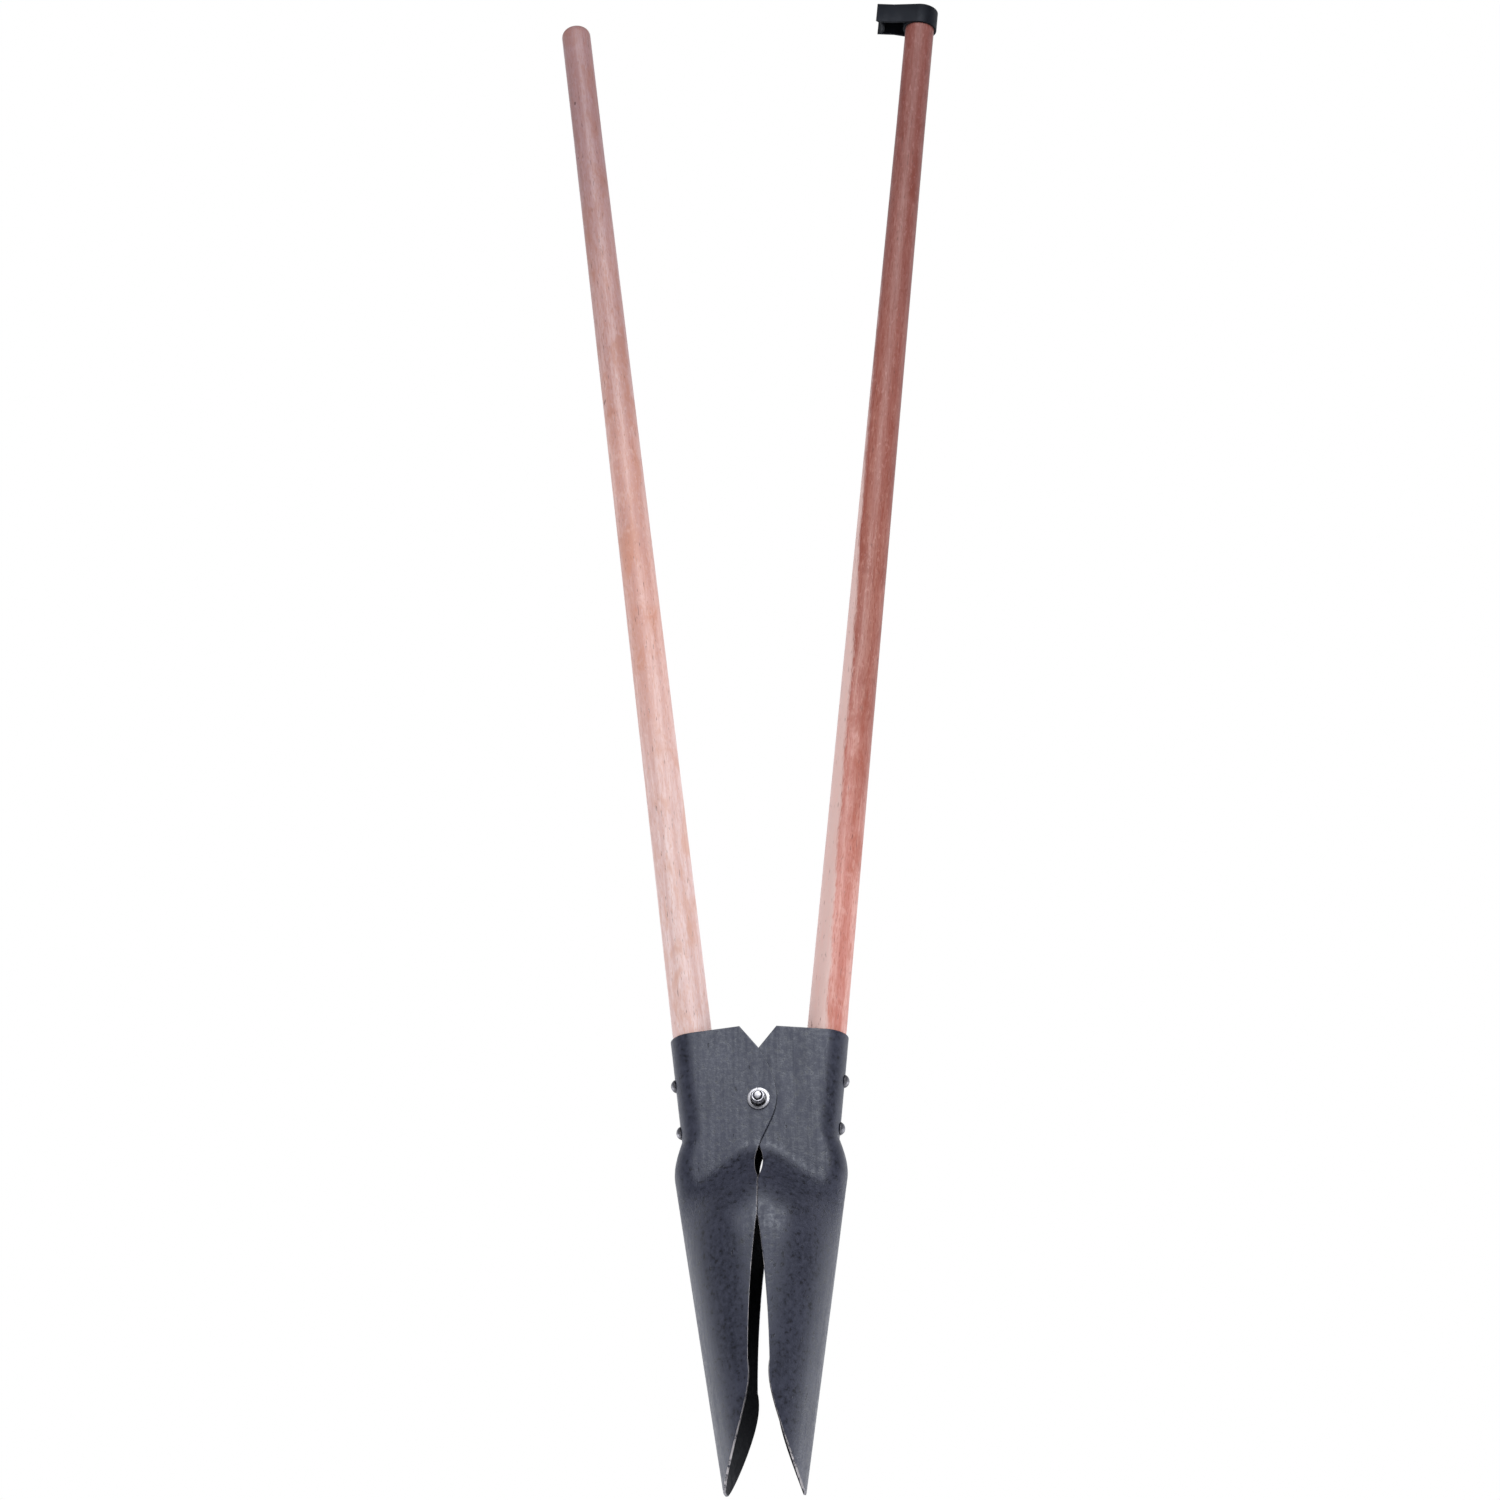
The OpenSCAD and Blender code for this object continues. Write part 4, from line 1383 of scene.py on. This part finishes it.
@dataclass
class HandleClip:
    """Moulded cap on the right handle's end, whose saddle takes the other handle, and its screw."""

    edge_round: float = 0.6
    screw_d: float = 4
    screw_len: float = 22
    head_d: float = 8
    head_h: float = 2.4
    clip_top: float = 1184.2
    handle_above: float = 1180
    slot_w: float = 1.0
    slot_deep: float = 1.0
    arris_angle: float = 40
    jaw: Jaw = field(default_factory=lambda: JAW)

    def moulding(self, node: bpy.types.Object, finish: bpy.types.Material) -> bpy.types.Object:
        """Makes the clip from its solid, with its arrises rounded as a mould leaves them.

        Args:
            node: The CAD node, which is only read.
            finish: The plastic.

        Returns:
            The clip, riding on the right half.
        """
        work = bmesh.new()
        work.from_mesh(node.data)
        bmesh.ops.remove_doubles(work, verts=work.verts, dist=1e-6)
        bmesh.ops.dissolve_limit(work, angle_limit=math.radians(1.0), verts=work.verts, edges=work.edges)
        mesh = bpy.data.meshes.new("handle_clip_moulding")
        work.to_mesh(mesh)
        work.free()
        piece = bpy.data.objects.new(mesh.name, mesh)
        bpy.context.scene.collection.objects.link(piece)
        bevel = piece.modifiers.new("arris", "BEVEL")
        bevel.width, bevel.segments = self.edge_round * MM, 3
        bevel.limit_method, bevel.angle_limit = "ANGLE", math.radians(self.arris_angle)
        return fit(settle(piece), finish, Side.RIGHT.body, ["handle_clip"], 30)

    def screw(self, finish: bpy.types.Material) -> bpy.types.Object:
        """Makes the slotted pan-head screw.

        Args:
            finish: The plated metal.

        Returns:
            The screw, riding on the right half.
        """
        shank, wide, top = self.screw_d / 2, self.head_d / 2, self.clip_top + self.head_h
        low = self.handle_above - self.screw_len
        tip = [(0.1, low), (0.9, low + 1.6), (shank - 0.15, low + 3.2), (shank, low + 4)]
        dome = [(wide * math.cos(a) ** 0.6, self.clip_top + self.head_h * math.sin(a))
                for a in np.linspace(0, math.pi / 2 * 0.97, 12)]
        profile = tip + [(shank, self.clip_top), (wide - 0.15, self.clip_top)] + dome[1:] + [(0.2, top)]
        place = self.jaw.place(Side.RIGHT) @ Matrix.Translation((self.jaw.axis_out, 0, 0))
        piece = mesh_object("clip_screw_panhead", *lathe(profile, 64, Matrix()), place)
        x, y, z = self.head_d, self.slot_w / 2, self.slot_deep
        corners = np.array([(i, j, top + k) for i in (-x, x) for j in (-y, y) for k in (-z, 1.0)])
        sides = [(0, 1, 3, 2), (4, 6, 7, 5), (0, 4, 5, 1), (2, 3, 7, 6), (0, 2, 6, 4), (1, 5, 7, 3)]
        cut_away(piece, mesh_object("slot_cutter", corners, sides, place))
        return fit(piece, finish, Side.RIGHT.body, ["clip_screw"], 32)


@dataclass(frozen=True)
class Softbox:
    """Rectangular soft light: place, size and the point it faces in metres, and power in watts."""

    name: str
    at: tuple[float, float, float]
    size: tuple[float, float]
    power: float
    aim: tuple[float, float, float]

    def hang(self) -> None:
        """Adds the light to the scene."""
        data = bpy.data.lights.new(self.name, "AREA")
        data.shape, (data.size, data.size_y), data.energy = "RECTANGLE", self.size, self.power
        light = bpy.data.objects.new(self.name, data)
        light.location = self.at
        light.rotation_euler = (Vector(self.aim) - Vector(self.at)).to_track_quat("-Z", "Y").to_euler()
        bpy.context.scene.collection.objects.link(light)


@dataclass
class Studio:
    """Pale floor, soft lights and the camera."""

    lens: float = 112.8
    sensor: float = 36.0
    yaw: float = 4.377
    pitch: float = 23.905
    roll: float = -0.627
    eye: tuple[float, float, float] = (305.60, -4071.23, -1088.07)
    floor_z: float = -1.5
    floor_reach: float = 14.0
    floor_paint: Colour = (0.86, 0.86, 0.87)
    sky_tint: Colour = (0.95, 0.96, 1.0)
    lights: tuple[Softbox, ...] = (
        Softbox("key", (0.35, -3.3, 2.35), (2.1, 1.4), 118, (0, 0, 0.4)),
        Softbox("left_rim", (-3.3, 1.4, -0.55), (1.5, 1.6), 54, (0, 0, 0.1)),
        Softbox("right_rim", (3.3, 1.4, -0.55), (1.5, 1.6), 54, (0, 0, 0.1)),
    )

    def camera(self) -> None:
        """Sets the camera below the tips, looking up at the digger."""
        data = bpy.data.cameras.new("camera")
        data.lens, data.sensor_width, data.sensor_fit = self.lens, self.sensor, "HORIZONTAL"
        data.clip_end = 100
        yaw, pitch, roll = (math.radians(a) for a in (self.yaw, self.pitch, self.roll))
        ahead = Vector((-math.sin(yaw) * math.cos(pitch), math.cos(yaw) * math.cos(pitch), math.sin(pitch)))
        right = Vector((math.cos(yaw), math.sin(yaw), 0))
        up = right.cross(ahead)
        across = math.cos(roll) * right + math.sin(roll) * up
        above = -math.sin(roll) * right + math.cos(roll) * up
        turn = Matrix((across, above, -ahead)).transposed().to_4x4()
        camera = bpy.data.objects.new("camera", data)
        camera.matrix_world = Matrix.Translation(Vector(self.eye) * MM) @ turn
        bpy.context.scene.collection.objects.link(camera)
        bpy.context.scene.camera = camera

    def floor(self) -> None:
        """Lays the pale floor under the camera."""
        mesh = bpy.data.meshes.new("floor")
        corners = [(-1, -1), (1, -1), (1, 1), (-1, 1)]
        points = [(x * self.floor_reach, y * self.floor_reach, self.floor_z) for x, y in corners]
        mesh.from_pydata(points, [], [(0, 1, 2, 3)])
        floor = bpy.data.objects.new("floor", mesh)
        bpy.context.scene.collection.objects.link(floor)
        material, r, shader = new_material("pale_floor")
        r.feed(shader.inputs["Base Color"], self.floor_paint)
        r.feed(shader.inputs["Roughness"], 0.9)
        mesh.materials.append(material)

    def world(self) -> None:
        """Makes the surroundings: white to the eye, and as light dim in front and overhead."""
        world = bpy.data.worlds.new("studio")
        world.use_nodes = True
        world.node_tree.nodes.clear()
        r = Recipe(world.node_tree)
        way = r.split(r.add("ShaderNodeTexCoord").outputs["Generated"])
        strength = r.times(r.span(way["Y"], -0.3, 0.55, 0.2, 1.3), r.span(way["Z"], 0.4, 0.85, 1.0, 0.3))
        seen = r.add("ShaderNodeLightPath").outputs["Is Camera Ray"]
        lit = r.add("ShaderNodeBackground", {"Color": self.sky_tint, "Strength": strength})
        plain = r.add("ShaderNodeBackground", {"Color": (1.0, 1.0, 1.0), "Strength": 1.0})
        mixed = r.add("ShaderNodeMixShader", {0: seen, 1: lit.outputs[0], 2: plain.outputs[0]})
        r.add("ShaderNodeOutputWorld", {"Surface": mixed.outputs[0]})
        bpy.context.scene.world = world

    def build(self) -> None:
        """Sets up everything that isn't the digger."""
        bpy.context.scene.view_settings.view_transform = "Standard"
        self.camera()
        self.floor()
        self.world()
        for light in self.lights:
            light.hang()


def report(pieces: Sequence[bpy.types.Object]) -> None:
    """Logs the name and the number of faces of each piece."""
    for piece in pieces:
        LOG.info("%s: %d faces", piece.name, len(piece.data.polygons))


PALE_WOOD = TurnedWood(
    name="pale_wood", side=Side.LEFT, seed=3.1,
    pale=linear(238, 214, 212), deep=linear(212, 172, 166), patch=linear(216, 168, 150),
    fleck=linear(120, 80, 70), warmth=linear(244, 224, 216), patina=linear(186, 184, 196),
)
RED_WOOD = TurnedWood(
    name="red_wood", side=Side.RIGHT, seed=7.7,
    pale=linear(228, 174, 164), deep=linear(200, 122, 110), patch=linear(190, 108, 88),
    fleck=linear(100, 46, 38), warmth=linear(186, 158, 148), patina=linear(210, 208, 218),
    sap=linear(218, 188, 182),
)
BOLT_ZINC = PlatedMetal("zinc_plate", plate=linear(176, 176, 182), dull=linear(128, 128, 134), gloss=0.30)
RIVET_ZINC = PlatedMetal("dull_zinc", plate=linear(132, 132, 138), dull=linear(84, 84, 90), gloss=0.36)
NYLON = MouldedPlastic("locking_nylon", body=linear(52, 66, 112), scuff=linear(80, 92, 130), gloss=0.42)
CLIP_PLASTIC = MouldedPlastic("clip_plastic", body=linear(11, 13, 19), scuff=linear(19, 22, 30), gloss=0.55)


def main() -> None:
    """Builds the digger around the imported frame, one sub-assembly after another."""
    logging.basicConfig(level=logging.INFO, format="%(name)s: %(message)s")
    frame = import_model()
    Studio().build()

    steel = CoatedSteel().make()
    report([JAW.build(side, steel) for side in Side])

    handle = Handle()
    turning = handle.tree()
    for wood, slot in ((PALE_WOOD, Slot.LEFT_WOOD), (RED_WOOD, Slot.RIGHT_WOOD)):
        report([handle.build(wood.side, turning, wood.make(), slot)])

    rivets = Rivets()
    pair_tree, dull_zinc = rivets.tree(), RIVET_ZINC.make()
    for side in Side:
        report(rivets.build(side, pair_tree, dull_zinc))

    zinc = BOLT_ZINC.make()
    report(Pivot().build(zinc, NYLON.make()))

    clip = HandleClip()
    report([clip.moulding(frame["nodes"]["handle_clip"], CLIP_PLASTIC.make()), clip.screw(zinc)])


if __name__ == "__main__":
    main()
